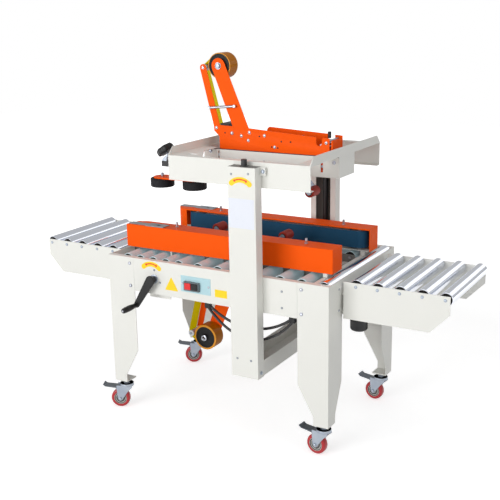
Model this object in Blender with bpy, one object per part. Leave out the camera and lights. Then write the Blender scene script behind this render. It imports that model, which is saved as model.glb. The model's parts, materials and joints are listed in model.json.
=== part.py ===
"""Semi-automatic carton sealer with side belts, upper and lower tape heads.

Units are metres, +Z is up and +X is the way the cartons travel. The operator stands at -Y.
The pieces are laid out about the middle of the roller bed, and one empty carries them all.
"""
import math

import bpy
import bmesh
from mathutils import Matrix, Vector

# ---- overall sizes -------------------------------------------------------------------------
BED_LENGTH = 0.985          # main frame between its end plates
BED_WIDTH = 0.624           # main frame over its front and back panels
BED_TOP = 0.672             # top flange of the main frame
PASS_LINE = 0.680           # top of the bed rollers, where the carton slides
LEG_BOTTOM = 0.125          # underside of the leg feet, on top of the casters
SHEET = 0.003               # folded sheet of frame, tables, columns and head frame
CLEAR = 0.0003              # gap between pieces that touch
RUN = 0.0003                # radial gap of a pin in its hole
OVERCUT = 0.010             # how far a cutting tool runs past the face it opens

# ---- legs and panels -----------------------------------------------------------------------
LEG_FRONT_WIDTH = 0.126
LEG_SIDE_WIDTH = 0.116
LEG_FOOT_WIDTH = 0.062
LEG_TAPER_TOP = 0.276
LEG_TAPER_BOTTOM = 0.160
FOOT_PLATE = 0.005
PANEL_BOTTOM = 0.535
TOP_FLANGE = 0.025
BOTTOM_FLANGE = 0.024

# ---- rollers -------------------------------------------------------------------------------
ROLLER_R = 0.025
AXLE_R = 0.006
ROLLER_SIDES = 12
AXLE_SIDES = 8
END_ROLLER_INSET = 0.0298   # from the bed's end plate to the last roller's axis
WIDE_PITCH = 0.0896
WIDE_COUNT = 7
CLOSE_PITCH = 0.0615
CLOSE_COUNT = 4
SHORT_ROLLER_END = 0.138    # inner end of the short rollers, from the middle plane
INNER_RAIL_HEIGHT = 0.040
RAIL_SHEET = 0.004
TIE_PLACES = (-0.360, 0.044)    # cross ties under the lower tape head, from its press roller
TIE_DROP = 0.195
TIE_HALF = 0.012
TIE_THICK = 0.006
POST_DROP = 0.060
BITE = 0.001                # depth by which two fused pieces run into each other

# ---- infeed and outfeed tables -------------------------------------------------------------
TABLE_REACH = 0.408
TABLE_GAP = 0.011
TABLE_WIDTH = 0.424
TABLE_TOP = 0.667
TABLE_DEPTH = 0.140
TABLE_TIP_DEPTH = 0.0675
TABLE_TAPER = 0.070
TABLE_ROLLERS = 5
TABLE_PITCH = 0.083
TABLE_FIRST_ROLLER = 0.0175
TABLE_AXLE_DROP = 0.0135
TABLE_FLANGE_DROP = 0.040
TABLE_BOLT_R = 0.007
TABLE_BOLT_INSET = 0.020
TABLE_BOLT_RISE = (0.024, 0.088)

# ---- columns, channel and head frame -------------------------------------------------------
COLUMN_LEFT = 0.1115
COLUMN_WIDTH = 0.1145
COLUMN_DEPTH = 0.046
COLUMN_BOTTOM = 0.283
COLUMN_TOP = 1.083
COLUMN_LIP = 0.024
CHANNEL_HEIGHT = 0.061
CHANNEL_LIFT = 0.003
HEAD_LEFT = -0.176
HEAD_LENGTH = 0.596
HEAD_BOTTOM = 1.004
HEAD_HEIGHT = 0.093
HEAD_LIP = 0.030
HEAD_WEB = 0.062
WEB_INSET = 0.0002          # webs stop just under the beams' top face
CRADLE_WIDTH = 0.136
CRADLE_TOP = 1.089
CRADLE_BOTTOM = 1.012
SLIDER_HEIGHT = 0.066
SLIDER_LIFT = 0.004
SLIDER_PLAY = 0.0005
SLOT_PLAY = 0.004
CAP_R = 0.011
CAP_HEIGHT = 0.026

# ---- tape heads ----------------------------------------------------------------------------
HEAD_PLATE = 0.003
TAPE_HEAD_WIDTH = 0.090
ROLLER_REACH = 0.078        # how far the press rollers stand out of the plates
PRESS_R = 0.020
PRESS_HALF = 0.029
PRESS_SPACING = 0.308
UPPER_X = 0.2735            # outfeed press roller of the upper head
UPPER_EDGE = 1.018
UPPER_ARM_REACH = 0.392
UPPER_TAPE_R = 0.050
LOWER_X = 0.158
LOWER_EDGE = 0.675
LOWER_ARM_REACH = 0.413
LOWER_TAPE_R = 0.055
TAPE_WIDTH = 0.060
SPINDLE_R = 0.008
SWING_ARM_HALF = 0.012
SWING_PIVOT_BACK = 0.112
SWING_PIVOT_IN = 0.034
PIN_R = 0.005
SPACER_R = 0.006
GUIDE_PIN_R = 0.005
HANGER_R = 0.005
HANGERS = ((-0.3775, 0.050), (0.072, 0.034))

# ---- side belts ----------------------------------------------------------------------------
COVER_HALF_LENGTH = 0.4645
COVER_MIDDLE = -0.005
COVER_INNER = 0.130         # from the middle plane, at the carton width shown
COVER_WIDTH = 0.082
COVER_BOTTOM = 0.687
COVER_HEIGHT = 0.092
COVER_SHEET = 0.0025
COVER_NOSE = 0.066
COVER_TOP_LIP = 0.005
PULLEY_R = 0.033
PULLEY_SIDES = 24
BELT_THICK = 0.003
BELT_PROUD = 0.003
BELT_BOTTOM = 0.700
BELT_TOP = 0.768
DRIVE_X = 0.405
IDLER_X = -0.362
MOTOR_R = 0.038
MOTOR_BOTTOM = 0.345
MOTOR_TOP = 0.612
RAIL_LIFT = 0.003
NECK_R = 0.0055
CROSS_RAIL_X = (0.416, 0.434)
RAIL_BELOW_COVER = 0.0185
RAIL_ARM_INSET = 0.030
RAIL_ARM_WIDTH = 0.020
SCREW_R = 0.008
SCREW_Z = 0.598
LUG_THICK = 0.006
LUG_BACK = 0.0105
LUG_Y = (0.195, 0.206)
LUG_DROP = 0.012
NUT_HALF = 0.016
COVER_PLAY = 0.001
BASE_LIFT = 0.0008
BASE_PAST_IDLER = 0.005
BASE_PAST_DRIVE = 0.010
PULLEY_SHAFT_R = 0.010
BELT_BED_HALF = 0.012
COVER_BOLTS_X = (-0.250, 0.3305)
COVER_BOLT_R = 0.006
FOOT_INSET = 0.010

# ---- crank ---------------------------------------------------------------------------------
CRANK_ARM_Y = 0.345
CRANK_SWING = (-0.0715, -0.110)
CRANK_THICK = 0.011
GRIP_LENGTH = 0.088
GRIP_R = 0.012
GRIP_NECK_R = 0.010
GRIP_NECK = 0.012
GRIP_SWELL = 0.035
GRIP_NOSE = 0.008
CRANK_HUB_R = 0.0195
CRANK_BOSS_R = 0.015
CRANK_STAND_OFF = 0.006

# ---- switch box and buttons ----------------------------------------------------------------
SWITCH_X = (-0.120, -0.051)
SWITCH_Z = (0.576, 0.612)
SWITCH_PROUD = 0.012
SWITCH_RIM = 0.005
BUTTON_PROUD = 0.003
BUTTON_LENGTH = 0.0125
PLATE_X = (-0.139, -0.003)
PLATE_Z = (0.567, 0.632)
PLATE_PROUD = 0.0015

# ---- carton press rollers of the head ------------------------------------------------------
DISC_R = 0.0475
DISC_HEIGHT = 0.034
DISC_BOTTOM = 0.946
DISC_X = (-0.3015, -0.1485)
DISC_Y = -0.180
DISC_PIN_R = 0.006
DISC_PIN_HEAD = 0.008
PRESS_BAR_HALF = 0.035
PRESS_BAR_THICK = 0.005
STUB_SIZE = 0.022
STUB_BOTTOM = 1.027
STUB_PAST_KNOB = 0.012
PAD_THICK = 0.004
PAD_HALF = 0.020
KNOB_CENTRE = (-0.2825, 1.092)
KNOB_R = 0.037
KNOB_HALF = 0.013
KNOB_TILT = math.radians(36)
KNOB_LOBES = 7
KNOB_SCOOP = 0.0045
KNOB_SCREW_R = 0.004
KNOB_SCREW_REACH = 0.042
KNOB_SCREW_IN = 0.016

# ---- casters -------------------------------------------------------------------------------
WHEEL_R = 0.040
WHEEL_HALF = 0.014
TRAIL = 0.028
STEM_INSET = 0.033
STEM_R = 0.006
FORK_INNER = 0.016
FORK_SHEET = 0.0025
RACE_R = 0.029
RACE_BOTTOM = 0.095
RACE_TOP = 0.107
STEM_NUT_R = 0.012
STEM_NUT_HEIGHT = 0.008
TYRE_EDGE = 0.005
PEDAL_PLAY = 0.0008
TREAD_HALF = 0.019
CASTER_AXLE_R = 0.005
PEDAL_PIVOT = (0.036, 0.089)
PEDAL_PIN_R = 0.003
PEDAL_REACH = 0.100

# ---- hanging motor cables ------------------------------------------------------------------
CABLE_R = 0.0055
CABLE_Y = -0.296
CABLE_LEFT = -0.026
CABLE_RIGHT = 0.340
CABLE_LOW = 0.414
CABLE_UPPER_LOW = 0.459
CABLE_SPREAD = 0.006        # half the gap between the two cables in a clip
CABLE_STEPS = 16
CABLE_FULLNESS = 0.9        # below 1 the sag is fuller than a parabola
CLIP_SIZE = 0.024
CLIP_HALF_DEPTH = 0.009

HALF_L = BED_LENGTH / 2
HALF_W = BED_WIDTH / 2
COLUMN_RIGHT = COLUMN_LEFT + COLUMN_WIDTH
CRANK_REACH = CRANK_ARM_Y + GRIP_LENGTH
SIDE_SHIFT = (CRANK_REACH - (HALF_W + COLUMN_DEPTH)) / 2

CREAM = (0.87, 0.87, 0.83)
ORANGE = (0.95, 0.16, 0.03)
STEEL = (0.62, 0.63, 0.65)
ZINC = (0.50, 0.54, 0.58)
BLACK = (0.02, 0.02, 0.022)
BELT_BLUE = (0.01, 0.05, 0.10)
RUBBER_RED = (0.25, 0.03, 0.02)
TYRE_RED = (0.55, 0.02, 0.03)
AMBER = (0.50, 0.22, 0.02)
STOP_RED = (0.75, 0.02, 0.02)


# ---- tools ---------------------------------------------------------------------------------
def clear_scene():
    for thing in list(bpy.data.objects):
        bpy.data.objects.remove(thing, do_unlink=True)


def material(name, colour, roughness, metallic):
    """One Principled material with the piece's colour."""
    finish = bpy.data.materials.new(name)
    finish.use_nodes = True
    shader = finish.node_tree.nodes["Principled BSDF"]
    shader.inputs["Base Color"].default_value = (*colour, 1)
    shader.inputs["Roughness"].default_value = roughness
    shader.inputs["Metallic"].default_value = metallic
    return finish


def link(mesh, name):
    piece = bpy.data.objects.new(name, mesh)
    bpy.context.collection.objects.link(piece)
    return piece


def solid(name, build):
    """A closed mesh filled in by build(bm), with its normals pointing out."""
    bm = bmesh.new()
    build(bm)
    bmesh.ops.recalc_face_normals(bm, faces=bm.faces)
    mesh = bpy.data.meshes.new(name)
    bm.to_mesh(mesh)
    bm.free()
    return link(mesh, name)


PLANES = {
    "X": lambda a, b, c: (c, a, b),
    "Y": lambda a, b, c: (a, c, b),
    "Z": lambda a, b, c: (a, b, c),
}


def prism(outline, axis, low, high, name="work"):
    """An outline in the plane across the axis, drawn out from low to high."""
    place = PLANES[axis]

    def build(bm):
        bottom = [bm.verts.new(place(a, b, low)) for a, b in outline]
        top = [bm.verts.new(place(a, b, high)) for a, b in outline]
        bm.faces.new(bottom)
        bm.faces.new(top)
        for i in range(len(outline)):
            j = (i + 1) % len(outline)
            bm.faces.new((bottom[i], bottom[j], top[j], top[i]))
    return solid(name, build)


def box(x, y, z, name="work"):
    return prism([(x[0], y[0]), (x[1], y[0]), (x[1], y[1]), (x[0], y[1])], "Z", z[0], z[1], name)


def arc(centre, radius, start, end, steps):
    """Points on an arc, in degrees, both ends included."""
    points = []
    for k in range(steps + 1):
        angle = math.radians(start + (end - start) * k / steps)
        points.append((centre[0] + radius * math.cos(angle), centre[1] + radius * math.sin(angle)))
    return points


def circle(centre, radius, sides):
    return arc(centre, radius, -90, 270 - 360 / sides, sides - 1)


def rod(centre, radius, axis, low, high, sides=16, name="work"):
    return prism(circle(centre, radius, sides), axis, low, high, name)


def turned(profile, centre, axis, sides, name="work"):
    """A closed ring of (radius, position) points turned about an axis."""
    place = PLANES[axis]

    def build(bm):
        rings = []
        for k in range(sides):
            angle = 2 * math.pi * k / sides - math.pi / 2
            ring = []
            for radius, along in profile:
                a = centre[0] + radius * math.cos(angle)
                b = centre[1] + radius * math.sin(angle)
                ring.append(bm.verts.new(place(a, b, along)))
            rings.append(ring)
        for k in range(sides):
            here, there = rings[k], rings[(k + 1) % sides]
            for i in range(len(profile)):
                j = (i + 1) % len(profile)
                bm.faces.new((here[i], here[j], there[j], there[i]))
    return solid(name, build)


def stadium(x_low, x_high, y, radius, steps):
    """A round-ended loop about two centres, as (x, y) points."""
    return arc((x_high, y), radius, -90, 90, steps) + arc((x_low, y), radius, 90, 270, steps)


def capsule(a, b, radius_a, radius_b, steps=8):
    """The outline of an arm with round ends at a and b."""
    angle = math.degrees(math.atan2(b[1] - a[1], b[0] - a[0]))
    return (arc(b, radius_b, angle - 90, angle + 90, steps)
            + arc(a, radius_a, angle + 90, angle + 270, steps))


def combine(target, others, operation, solver="EXACT"):
    """Boolean of each other object with the target, kept as the target's mesh."""
    for other in others:
        change = target.modifiers.new("join", "BOOLEAN")
        change.operation = operation
        change.object = other
        change.solver = solver
        graph = bpy.context.evaluated_depsgraph_get()
        mesh = bpy.data.meshes.new_from_object(target.evaluated_get(graph))
        target.modifiers.clear()
        target.data = mesh
        bpy.data.objects.remove(other, do_unlink=True)
    return target


def fuse(target, *others, solver="EXACT"):
    return combine(target, others, "UNION", solver)


def cut(target, *others, solver="EXACT"):
    return combine(target, others, "DIFFERENCE", solver)


def finish(piece, name, colour, roughness=0.5, metallic=0.0, smooth=False, pivot=None):
    """Name the piece, give it its material and put its origin on its joint."""
    piece.name = name
    mesh = piece.data
    mesh.name = name
    mesh.materials.clear()
    mesh.materials.append(material(name, colour, roughness, metallic))
    if smooth:
        mesh.shade_smooth()
        mesh.set_sharp_from_angle(angle=math.radians(35))
    else:
        mesh.shade_flat()
    if pivot is not None:
        mesh.transform(Matrix.Translation(-Vector(pivot)))
        piece.location = pivot
    piece.parent = machine
    return piece


# ---- main frame ----------------------------------------------------------------------------
def plate_outline(inner, outer, foot, bottom_cut):
    """One face of a leg: full width above, tapering to its foot."""
    return [(outer, bottom_cut), (foot, bottom_cut), (foot, LEG_TAPER_BOTTOM), (inner, LEG_TAPER_TOP),
            (inner, BED_TOP), (outer, BED_TOP)]


def make_leg(name, side_x, side_y):
    """A folded corner leg with a foot plate, on the side_x, side_y corner."""
    x_out, y_out = side_x * HALF_L, side_y * HALF_W
    x_skin, y_skin = x_out - side_x * SHEET, y_out - side_y * SHEET
    x_edge, y_edge = x_out - side_x * LEG_FRONT_WIDTH, y_out - side_y * LEG_SIDE_WIDTH
    x_foot, y_foot = x_out - side_x * LEG_FOOT_WIDTH, y_out - side_y * LEG_FOOT_WIDTH
    y_flange = y_out - side_y * TOP_FLANGE
    front = prism(plate_outline(x_edge, x_out, x_foot, LEG_BOTTOM), "Y", *sorted((y_out, y_skin)))
    side = prism(plate_outline(y_edge, y_out, y_foot, LEG_BOTTOM), "X", *sorted((x_out, x_skin)))
    foot = box(sorted((x_out, x_foot)), sorted((y_out, y_foot)), (LEG_BOTTOM, LEG_BOTTOM + FOOT_PLATE))
    flange = box(sorted((x_out, x_edge)), sorted((y_out, y_flange)), (BED_TOP - SHEET, BED_TOP))
    return finish(fuse(front, side, foot, flange), name, CREAM, 0.45)


def folded_channel(outer, inward, low, high, top, bottom):
    """A C section with its back at outer, opening inward, with its own top and bottom flanges."""
    skin = outer + inward * SHEET
    return [(outer, low), (outer + inward * bottom, low), (outer + inward * bottom, low + SHEET),
            (skin, low + SHEET), (skin, high - SHEET), (outer + inward * top, high - SHEET),
            (outer + inward * top, high), (outer, high)]


def make_panel(name, side):
    """Front or back panel between the legs, folded top and bottom."""
    half = HALF_L - LEG_FRONT_WIDTH - CLEAR
    profile = folded_channel(side * HALF_W, -side, PANEL_BOTTOM, BED_TOP, TOP_FLANGE, BOTTOM_FLANGE)
    return prism(profile, "X", -half, half, name)


def button_columns():
    """The X spans of the two push buttons inside the switch box."""
    middle = (SWITCH_X[0] + SWITCH_X[1]) / 2
    rib = SWITCH_RIM / 4
    return ((SWITCH_X[0] + SWITCH_RIM, middle - rib), (middle + rib, SWITCH_X[1] - SWITCH_RIM))


def make_front_panel():
    """Front panel with its switch plate, the switch box and the crank shaft's hole."""
    panel = make_panel("front_panel", -1)
    face = -HALF_W
    plate = box(PLATE_X, (face - PLATE_PROUD, face + SHEET / 2), PLATE_Z)
    housing = box(SWITCH_X, (face - SWITCH_PROUD, face + SHEET / 2), SWITCH_Z)
    pocket_y = (face - 2 * SWITCH_PROUD, face + 2 * SHEET)
    pocket_z = (SWITCH_Z[0] + SWITCH_RIM, SWITCH_Z[1] - SWITCH_RIM)
    pockets = [box(span, pocket_y, pocket_z) for span in button_columns()]
    shaft_hole = rod((screw_x, SCREW_Z), SCREW_R + RUN, "Y", face - SHEET, face + 2 * SHEET)
    fuse(panel, plate, housing)
    cut(panel, shaft_hole, *pockets)
    finish(panel, "front_panel", CREAM, 0.45)


def make_back_panel():
    panel = make_panel("back_panel", 1)
    finish(panel, "back_panel", CREAM, 0.45)


def end_plate(side):
    """Cross plate that closes the end of the bed between two legs."""
    half = HALF_W - LEG_SIDE_WIDTH - CLEAR
    profile = folded_channel(side * HALF_L, -side, PANEL_BOTTOM, BED_TOP, SHEET * 4 / 3, BOTTOM_FLANGE)
    return prism(profile, "Y", -half, half)


def make_end_plates():
    """Both end plates; the outfeed one carries the rail on which the belt carriages slide."""
    finish(end_plate(-1), "infeed_end_plate", CREAM, 0.45)
    plate = end_plate(1)
    low = MOTOR_TOP + RAIL_LIFT
    high = PASS_LINE - 2 * ROLLER_R - RAIL_LIFT
    reach = HALF_W - SHEET - CLEAR
    rail = box(CROSS_RAIL_X, (-reach, reach), (high - SHEET, rail_top()))
    inner = HALF_W - LEG_SIDE_WIDTH - RAIL_ARM_INSET
    outer = inner + RAIL_ARM_WIDTH
    arm_x = (CROSS_RAIL_X[0] + SHEET, HALF_L - SHEET / 2)
    arms = [box(arm_x, sorted((side * inner, side * outer)), (low, high)) for side in (-1, 1)]
    finish(fuse(plate, rail, *arms), "outfeed_end_plate", CREAM, 0.45)


def rail_top():
    """Top of the cross rail, under the feet of the belt carriages."""
    return COVER_BOTTOM - RAIL_BELOW_COVER


def make_buttons():
    """Stop and start push buttons, each sliding into the switch box."""
    for name, span, colour in zip(("stop_button", "start_button"), button_columns(), (STOP_RED, BLACK)):
        y_out = -HALF_W - SWITCH_PROUD - BUTTON_PROUD
        x = (span[0] + CLEAR, span[1] - CLEAR)
        z = (SWITCH_Z[0] + SWITCH_RIM + CLEAR, SWITCH_Z[1] - SWITCH_RIM - CLEAR)
        key = box(x, (y_out, y_out + BUTTON_LENGTH), z)
        finish(key, name, colour, 0.35, pivot=((x[0] + x[1]) / 2, y_out, (z[0] + z[1]) / 2))


# ---- roller bed ----------------------------------------------------------------------------
def bed_roller_places():
    """X of every roller axis of the bed, from the outfeed end back to the infeed end."""
    last = HALF_L - END_ROLLER_INSET
    wide = [last - k * WIDE_PITCH for k in range(WIDE_COUNT + 1)]
    return wide + [wide[-1] - (k + 1) * CLOSE_PITCH for k in range(CLOSE_COUNT)]


def make_full_roller(name, x, z, inner_face):
    """A free-running roller between two side plates."""
    end = inner_face - CLEAR
    short = TOP_FLANGE - SHEET if inner_face > TABLE_WIDTH / 2 else RAIL_SHEET
    tube = end - short
    piece = solid_roller(x, z, (-tube, tube), (-end, end))
    finish(piece, name, STEEL, 0.25, 1.0, smooth=True, pivot=(x, 0, z))


def solid_roller(x, z, body, axle):
    """A roller and its axle as one turned piece, closed at both axle ends."""
    place = PLANES["Y"]
    profile = [(AXLE_R, axle[0]), (AXLE_R, body[0]), (ROLLER_R, body[0]), (ROLLER_R, body[1]),
               (AXLE_R, body[1]), (AXLE_R, axle[1])]

    def build(bm):
        rings = []
        for radius, along in profile:
            rings.append([bm.verts.new(place(a, b, along)) for a, b in circle((x, z), radius, ROLLER_SIDES)])
        for here, there in zip(rings, rings[1:]):
            for i in range(ROLLER_SIDES):
                j = (i + 1) % ROLLER_SIDES
                bm.faces.new((here[i], here[j], there[j], there[i]))
        bm.faces.new(rings[0])
        bm.faces.new(rings[-1])
    return solid("work", build)


def make_bed_subframe():
    """Inner rails with their short rollers, and the ties that carry the lower tape head."""
    z = PASS_LINE - ROLLER_R
    rail_x = (-HALF_L + SHEET + CLEAR, DRIVE_X - NECK_R - RAIL_SHEET)
    rail_z = (z - INNER_RAIL_HEIGHT / 2, z + INNER_RAIL_HEIGHT * 0.3)
    pieces = []
    for side in (-1, 1):
        inner, outer = SHORT_ROLLER_END - RAIL_SHEET, SHORT_ROLLER_END
        pieces.append(box(rail_x, sorted((side * inner, side * outer)), rail_z))
        for x in bed_roller_places()[1:]:
            tube = sorted((side * (outer - RAIL_SHEET / 2), side * (HALF_W - TOP_FLANGE - CLEAR)))
            axle = sorted((side * (HALF_W - TOP_FLANGE - RAIL_SHEET), side * (HALF_W - SHEET - CLEAR)))
            pieces.append(rod((x, z), ROLLER_R, "Y", *tube, ROLLER_SIDES))
            pieces.append(rod((x, z), AXLE_R, "Y", *axle, AXLE_SIDES))
    plate_face = TAPE_HEAD_WIDTH / 2
    tie_low = LOWER_EDGE - TIE_DROP
    outer, inner = SHORT_ROLLER_END - BITE, SHORT_ROLLER_END - RAIL_SHEET + BITE
    for s in TIE_PLACES:
        x = LOWER_X + s
        span = (x - TIE_HALF, x + TIE_HALF)
        pieces.append(box(span, (-outer, outer), (tie_low, tie_low + TIE_THICK)))
        for side in (-1, 1):
            pieces.append(box(span, sorted((side * outer, side * inner)), (tie_low + BITE, z)))
            post_x = (x - TIE_HALF + 2 * BITE, x + TIE_HALF - 2 * BITE)
            post_y = sorted((side * (plate_face + CLEAR), side * (plate_face + CLEAR + TIE_THICK)))
            pieces.append(box(post_x, post_y, (tie_low + TIE_THICK / 2, LOWER_EDGE - POST_DROP)))
    frame = fuse(pieces[0], *pieces[1:])
    finish(frame, "bed_subframe", STEEL, 0.3, 0.8, smooth=True)


# ---- tables --------------------------------------------------------------------------------
def make_table(name, side):
    """Roller table: two side plates, an end flange and the spacers to the bed."""
    start = HALF_L + TABLE_GAP
    tip = HALF_L + TABLE_REACH
    low = TABLE_TOP - TABLE_DEPTH
    outline = [(side * x, z) for x, z in
               ((start, low), (tip - TABLE_TAPER, low), (tip, TABLE_TOP - TABLE_TIP_DEPTH),
                (tip, TABLE_TOP), (start, TABLE_TOP))]
    half = TABLE_WIDTH / 2
    near = prism(outline, "Y", -half, -half + SHEET)
    far = prism(outline, "Y", half - SHEET, half)
    flange_x = sorted((side * start, side * (start + SHEET)))
    flange = box(flange_x, (-half, half), (low, TABLE_TOP - TABLE_FLANGE_DROP))
    bolt_x = sorted((side * (HALF_L + CLEAR), side * (start + SHEET / 2)))
    bolt_y = half - TABLE_BOLT_INSET
    spacers = [rod((y, low + rise), TABLE_BOLT_R, "X", *bolt_x)
               for y in (-bolt_y, bolt_y) for rise in TABLE_BOLT_RISE]
    finish(fuse(near, far, flange, *spacers), name, CREAM, 0.45)


def make_table_rollers(prefix, side):
    z = TABLE_TOP - TABLE_AXLE_DROP
    for k in range(TABLE_ROLLERS):
        x = side * (HALF_L + TABLE_REACH - TABLE_FIRST_ROLLER - k * TABLE_PITCH)
        make_full_roller(f"{prefix}_roller_{k + 1}", x, z, TABLE_WIDTH / 2 - SHEET)


# ---- columns -------------------------------------------------------------------------------
def make_column(name, side):
    """Upright C section, open towards the machine, with its top cap and the screw's stub."""
    back, front = side * (HALF_W + COLUMN_DEPTH), side * (HALF_W + CLEAR)
    skin = SHEET
    left, right = COLUMN_LEFT, COLUMN_RIGHT
    inner_y = front + side * skin
    outline = [(left, back), (right, back), (right, front), (right - COLUMN_LIP, front),
               (right - COLUMN_LIP, inner_y), (right - skin, inner_y), (right - skin, back - side * skin),
               (left + skin, back - side * skin), (left + skin, inner_y), (left + COLUMN_LIP, inner_y),
               (left + COLUMN_LIP, front), (left, front)]
    shell = prism(outline, "Z", COLUMN_BOTTOM, COLUMN_TOP)
    lid = box((left, right), sorted((back, front)), (COLUMN_TOP - skin, COLUMN_TOP))
    stub_y = (back + front) / 2
    x = (left + right) / 2
    collar = rod((x, stub_y), CAP_R * 1.5, "Z", COLUMN_TOP - skin / 2, COLUMN_TOP + skin)
    stub = rod((x, stub_y), CAP_R, "Z", COLUMN_TOP, COLUMN_TOP + CAP_HEIGHT)
    finish(fuse(shell, lid, collar, stub), name, CREAM, 0.45)


def make_channel():
    """Open channel that ties the two columns together under the machine."""
    left, right = COLUMN_LEFT, COLUMN_RIGHT
    low = COLUMN_BOTTOM + CHANNEL_LIFT
    high = low + CHANNEL_HEIGHT
    outline = [(left, low), (right, low), (right, high), (right - SHEET, high),
               (right - SHEET, low + SHEET), (left + SHEET, low + SHEET), (left + SHEET, high), (left, high)]
    half = HALF_W
    channel = prism(outline, "Y", -half, half)
    finish(channel, "lower_channel", CREAM, 0.45)


# ---- head frame ----------------------------------------------------------------------------
def make_head_frame():
    """Welded frame that rides up and down the columns and holds the upper tape head."""
    left, right = HEAD_LEFT, HEAD_LEFT + HEAD_LENGTH
    top = HEAD_BOTTOM + HEAD_HEIGHT
    pieces = []
    for side in (-1, 1):
        profile = folded_channel(side * (HALF_W - CLEAR), -side, HEAD_BOTTOM, top, TOP_FLANGE, TOP_FLANGE)
        pieces.append(prism(profile, "X", left, right))
        pieces.append(make_slider(side))
    mitre = HEAD_LIP * 0.93
    end_y = HALF_W - CLEAR
    for x_out, inward in ((left, 1), (right, -1)):
        lip = [(-end_y, top - SHEET), (end_y, top - SHEET), (end_y, top), (end_y - mitre, top + HEAD_LIP),
               (-end_y + mitre, top + HEAD_LIP), (-end_y, top)]
        pieces.append(prism(lip, "X", *sorted((x_out, x_out + inward * SHEET))))
        web_x = sorted((x_out, x_out + inward * HEAD_WEB))
        web_y = end_y - SHEET / 2
        pieces.append(box(web_x, (-web_y, web_y), (top - SHEET, top - WEB_INSET)))
    walls = cradle_walls(left, right)
    frame = fuse(pieces[0], *pieces[1:], *walls)
    middle = CRADLE_WIDTH / 2 - SHEET
    openings = [box((x - HEAD_WEB, x + HEAD_WEB), (-middle, middle), (top - 2 * SHEET, top + SHEET / 2))
                for x in (left + HEAD_WEB + SHEET * 2, right - HEAD_WEB - SHEET * 2)]
    finish(cut(frame, *openings), "head_frame", CREAM, 0.45, pivot=(0, 0, HEAD_BOTTOM))


def cradle_walls(left, right):
    """The two long walls and two end walls between which the upper tape head sits."""
    half = CRADLE_WIDTH / 2
    x = (left + SHEET, right - SHEET)
    z = (CRADLE_BOTTOM, CRADLE_TOP)
    walls = [box(x, sorted((side * half, side * (half - SHEET))), z) for side in (-1, 1)]
    top = HEAD_BOTTOM + HEAD_HEIGHT
    for end, inward in ((x[0], 1), (x[1], -1)):
        wall_x = sorted((end, end + inward * SHEET))
        walls.append(box(wall_x, (-half, half), (CRADLE_BOTTOM, top - SHEET / 2)))
    return walls


def make_slider(side):
    """Guide block inside a column, joined to the beam through the column's slot."""
    inside = side * (HALF_W + CLEAR + SHEET + SLIDER_PLAY)
    deep = side * (HALF_W + COLUMN_DEPTH - SHEET - SLIDER_PLAY)
    low = HEAD_BOTTOM + SLIDER_LIFT
    high = low + SLIDER_HEIGHT
    wall = SHEET + SLIDER_PLAY
    block = box((COLUMN_LEFT + wall, COLUMN_RIGHT - wall), sorted((inside, deep)), (low, high))
    lip = COLUMN_LIP + SLOT_PLAY
    neck_y = sorted((side * (HALF_W - CLEAR - SHEET / 2), inside + side * 2 * BITE))
    neck = box((COLUMN_LEFT + lip, COLUMN_RIGHT - lip), neck_y, (low + 2 * BITE, high - 2 * BITE))
    return fuse(block, neck)


# ---- tape heads ----------------------------------------------------------------------------
class TapeHead:
    """Places of one tape head: s runs along the travel, t away from the carton."""

    def __init__(self, prefix, x, edge, away, arm_side, arm_reach, tape_r):
        self.prefix, self.x, self.edge, self.away = prefix, x, edge, away
        self.arm_side, self.arm_reach, self.tape_r = arm_side, arm_reach, tape_r

    def at(self, s, t):
        return (self.x + s, self.edge + self.away * t)

    def outline(self, points):
        return [self.at(s, t) for s, t in points]


ROLL_ARM_ROOT = (-0.276, 0.125)
GUIDE_ARM_ROOT = (-0.3945, 0.144)
ROLL_S = -0.386
GUIDE_TOP_S = -0.456
GUIDE_DROP = 0.008
WIDE_ARM_ROOT_R = 0.033
WIDE_ARM_R = 0.030
GUIDE_ARM_R = 0.014
ARM_INSET = 0.0002          # arms are this much thinner than the plate on both faces
SPACERS = ((-0.360, 0.100), (-0.255, 0.135), (-0.060, 0.125), (0.080, 0.100))
SPINDLE_PAST_TAPE = 0.012
TAPE_PLAY = 0.004


def arm_plate(head):
    """Side plate with the roll arm and the narrow guide arm in one sheet."""
    body = [(-0.3855, 0), (0.046, 0), (0.0915, 0.022), (0.0915, 0.136), (0.063, 0.137)]
    body += arc((0.049, 0.118), 0.012, 0, -180, 6)
    body += [(0.037, 0.138), (-0.300, 0.160), (-0.3835, 0.163), (-0.412, 0.157), (-0.411, 0.140),
             (-0.387, 0.118)]
    plate = prism(head.outline(body), "Y", *plate_span(head.arm_side, 0))
    thin = plate_span(head.arm_side, ARM_INSET)
    wide_arm = capsule(ROLL_ARM_ROOT, (ROLL_S, head.arm_reach), WIDE_ARM_ROOT_R, WIDE_ARM_R)
    roll = prism(head.outline(wide_arm), "Y", *thin)
    guide_top = (GUIDE_TOP_S, head.arm_reach - GUIDE_DROP)
    guide_arm = capsule(GUIDE_ARM_ROOT, guide_top, GUIDE_ARM_R, GUIDE_ARM_R, 6)
    guide = prism(head.outline(guide_arm), "Y", *thin)
    return fuse(plate, roll, guide, solver="MANIFOLD")


def plain_plate(head):
    """The other side plate, stepped down at its infeed end."""
    body = [(-0.3855, 0), (0.046, 0), (0.1045, 0.030), (0.1045, 0.137), (0.0745, 0.139), (0.0745, 0.112),
            (0.046, 0.112), (0.046, 0.141), (-0.213, 0.155)]
    body += arc((-0.207, 0.141), 0.013, 90, 180, 4)
    body += [(-0.220, 0.120), (-0.3855, 0.120)]
    return prism(head.outline(body), "Y", *plate_span(-head.arm_side, 0))


def plate_span(side, inset):
    """Y span of a side plate, thinned by the inset on both faces."""
    half = TAPE_HEAD_WIDTH / 2
    return sorted((side * (half - inset), side * (half - HEAD_PLATE + inset)))


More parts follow.
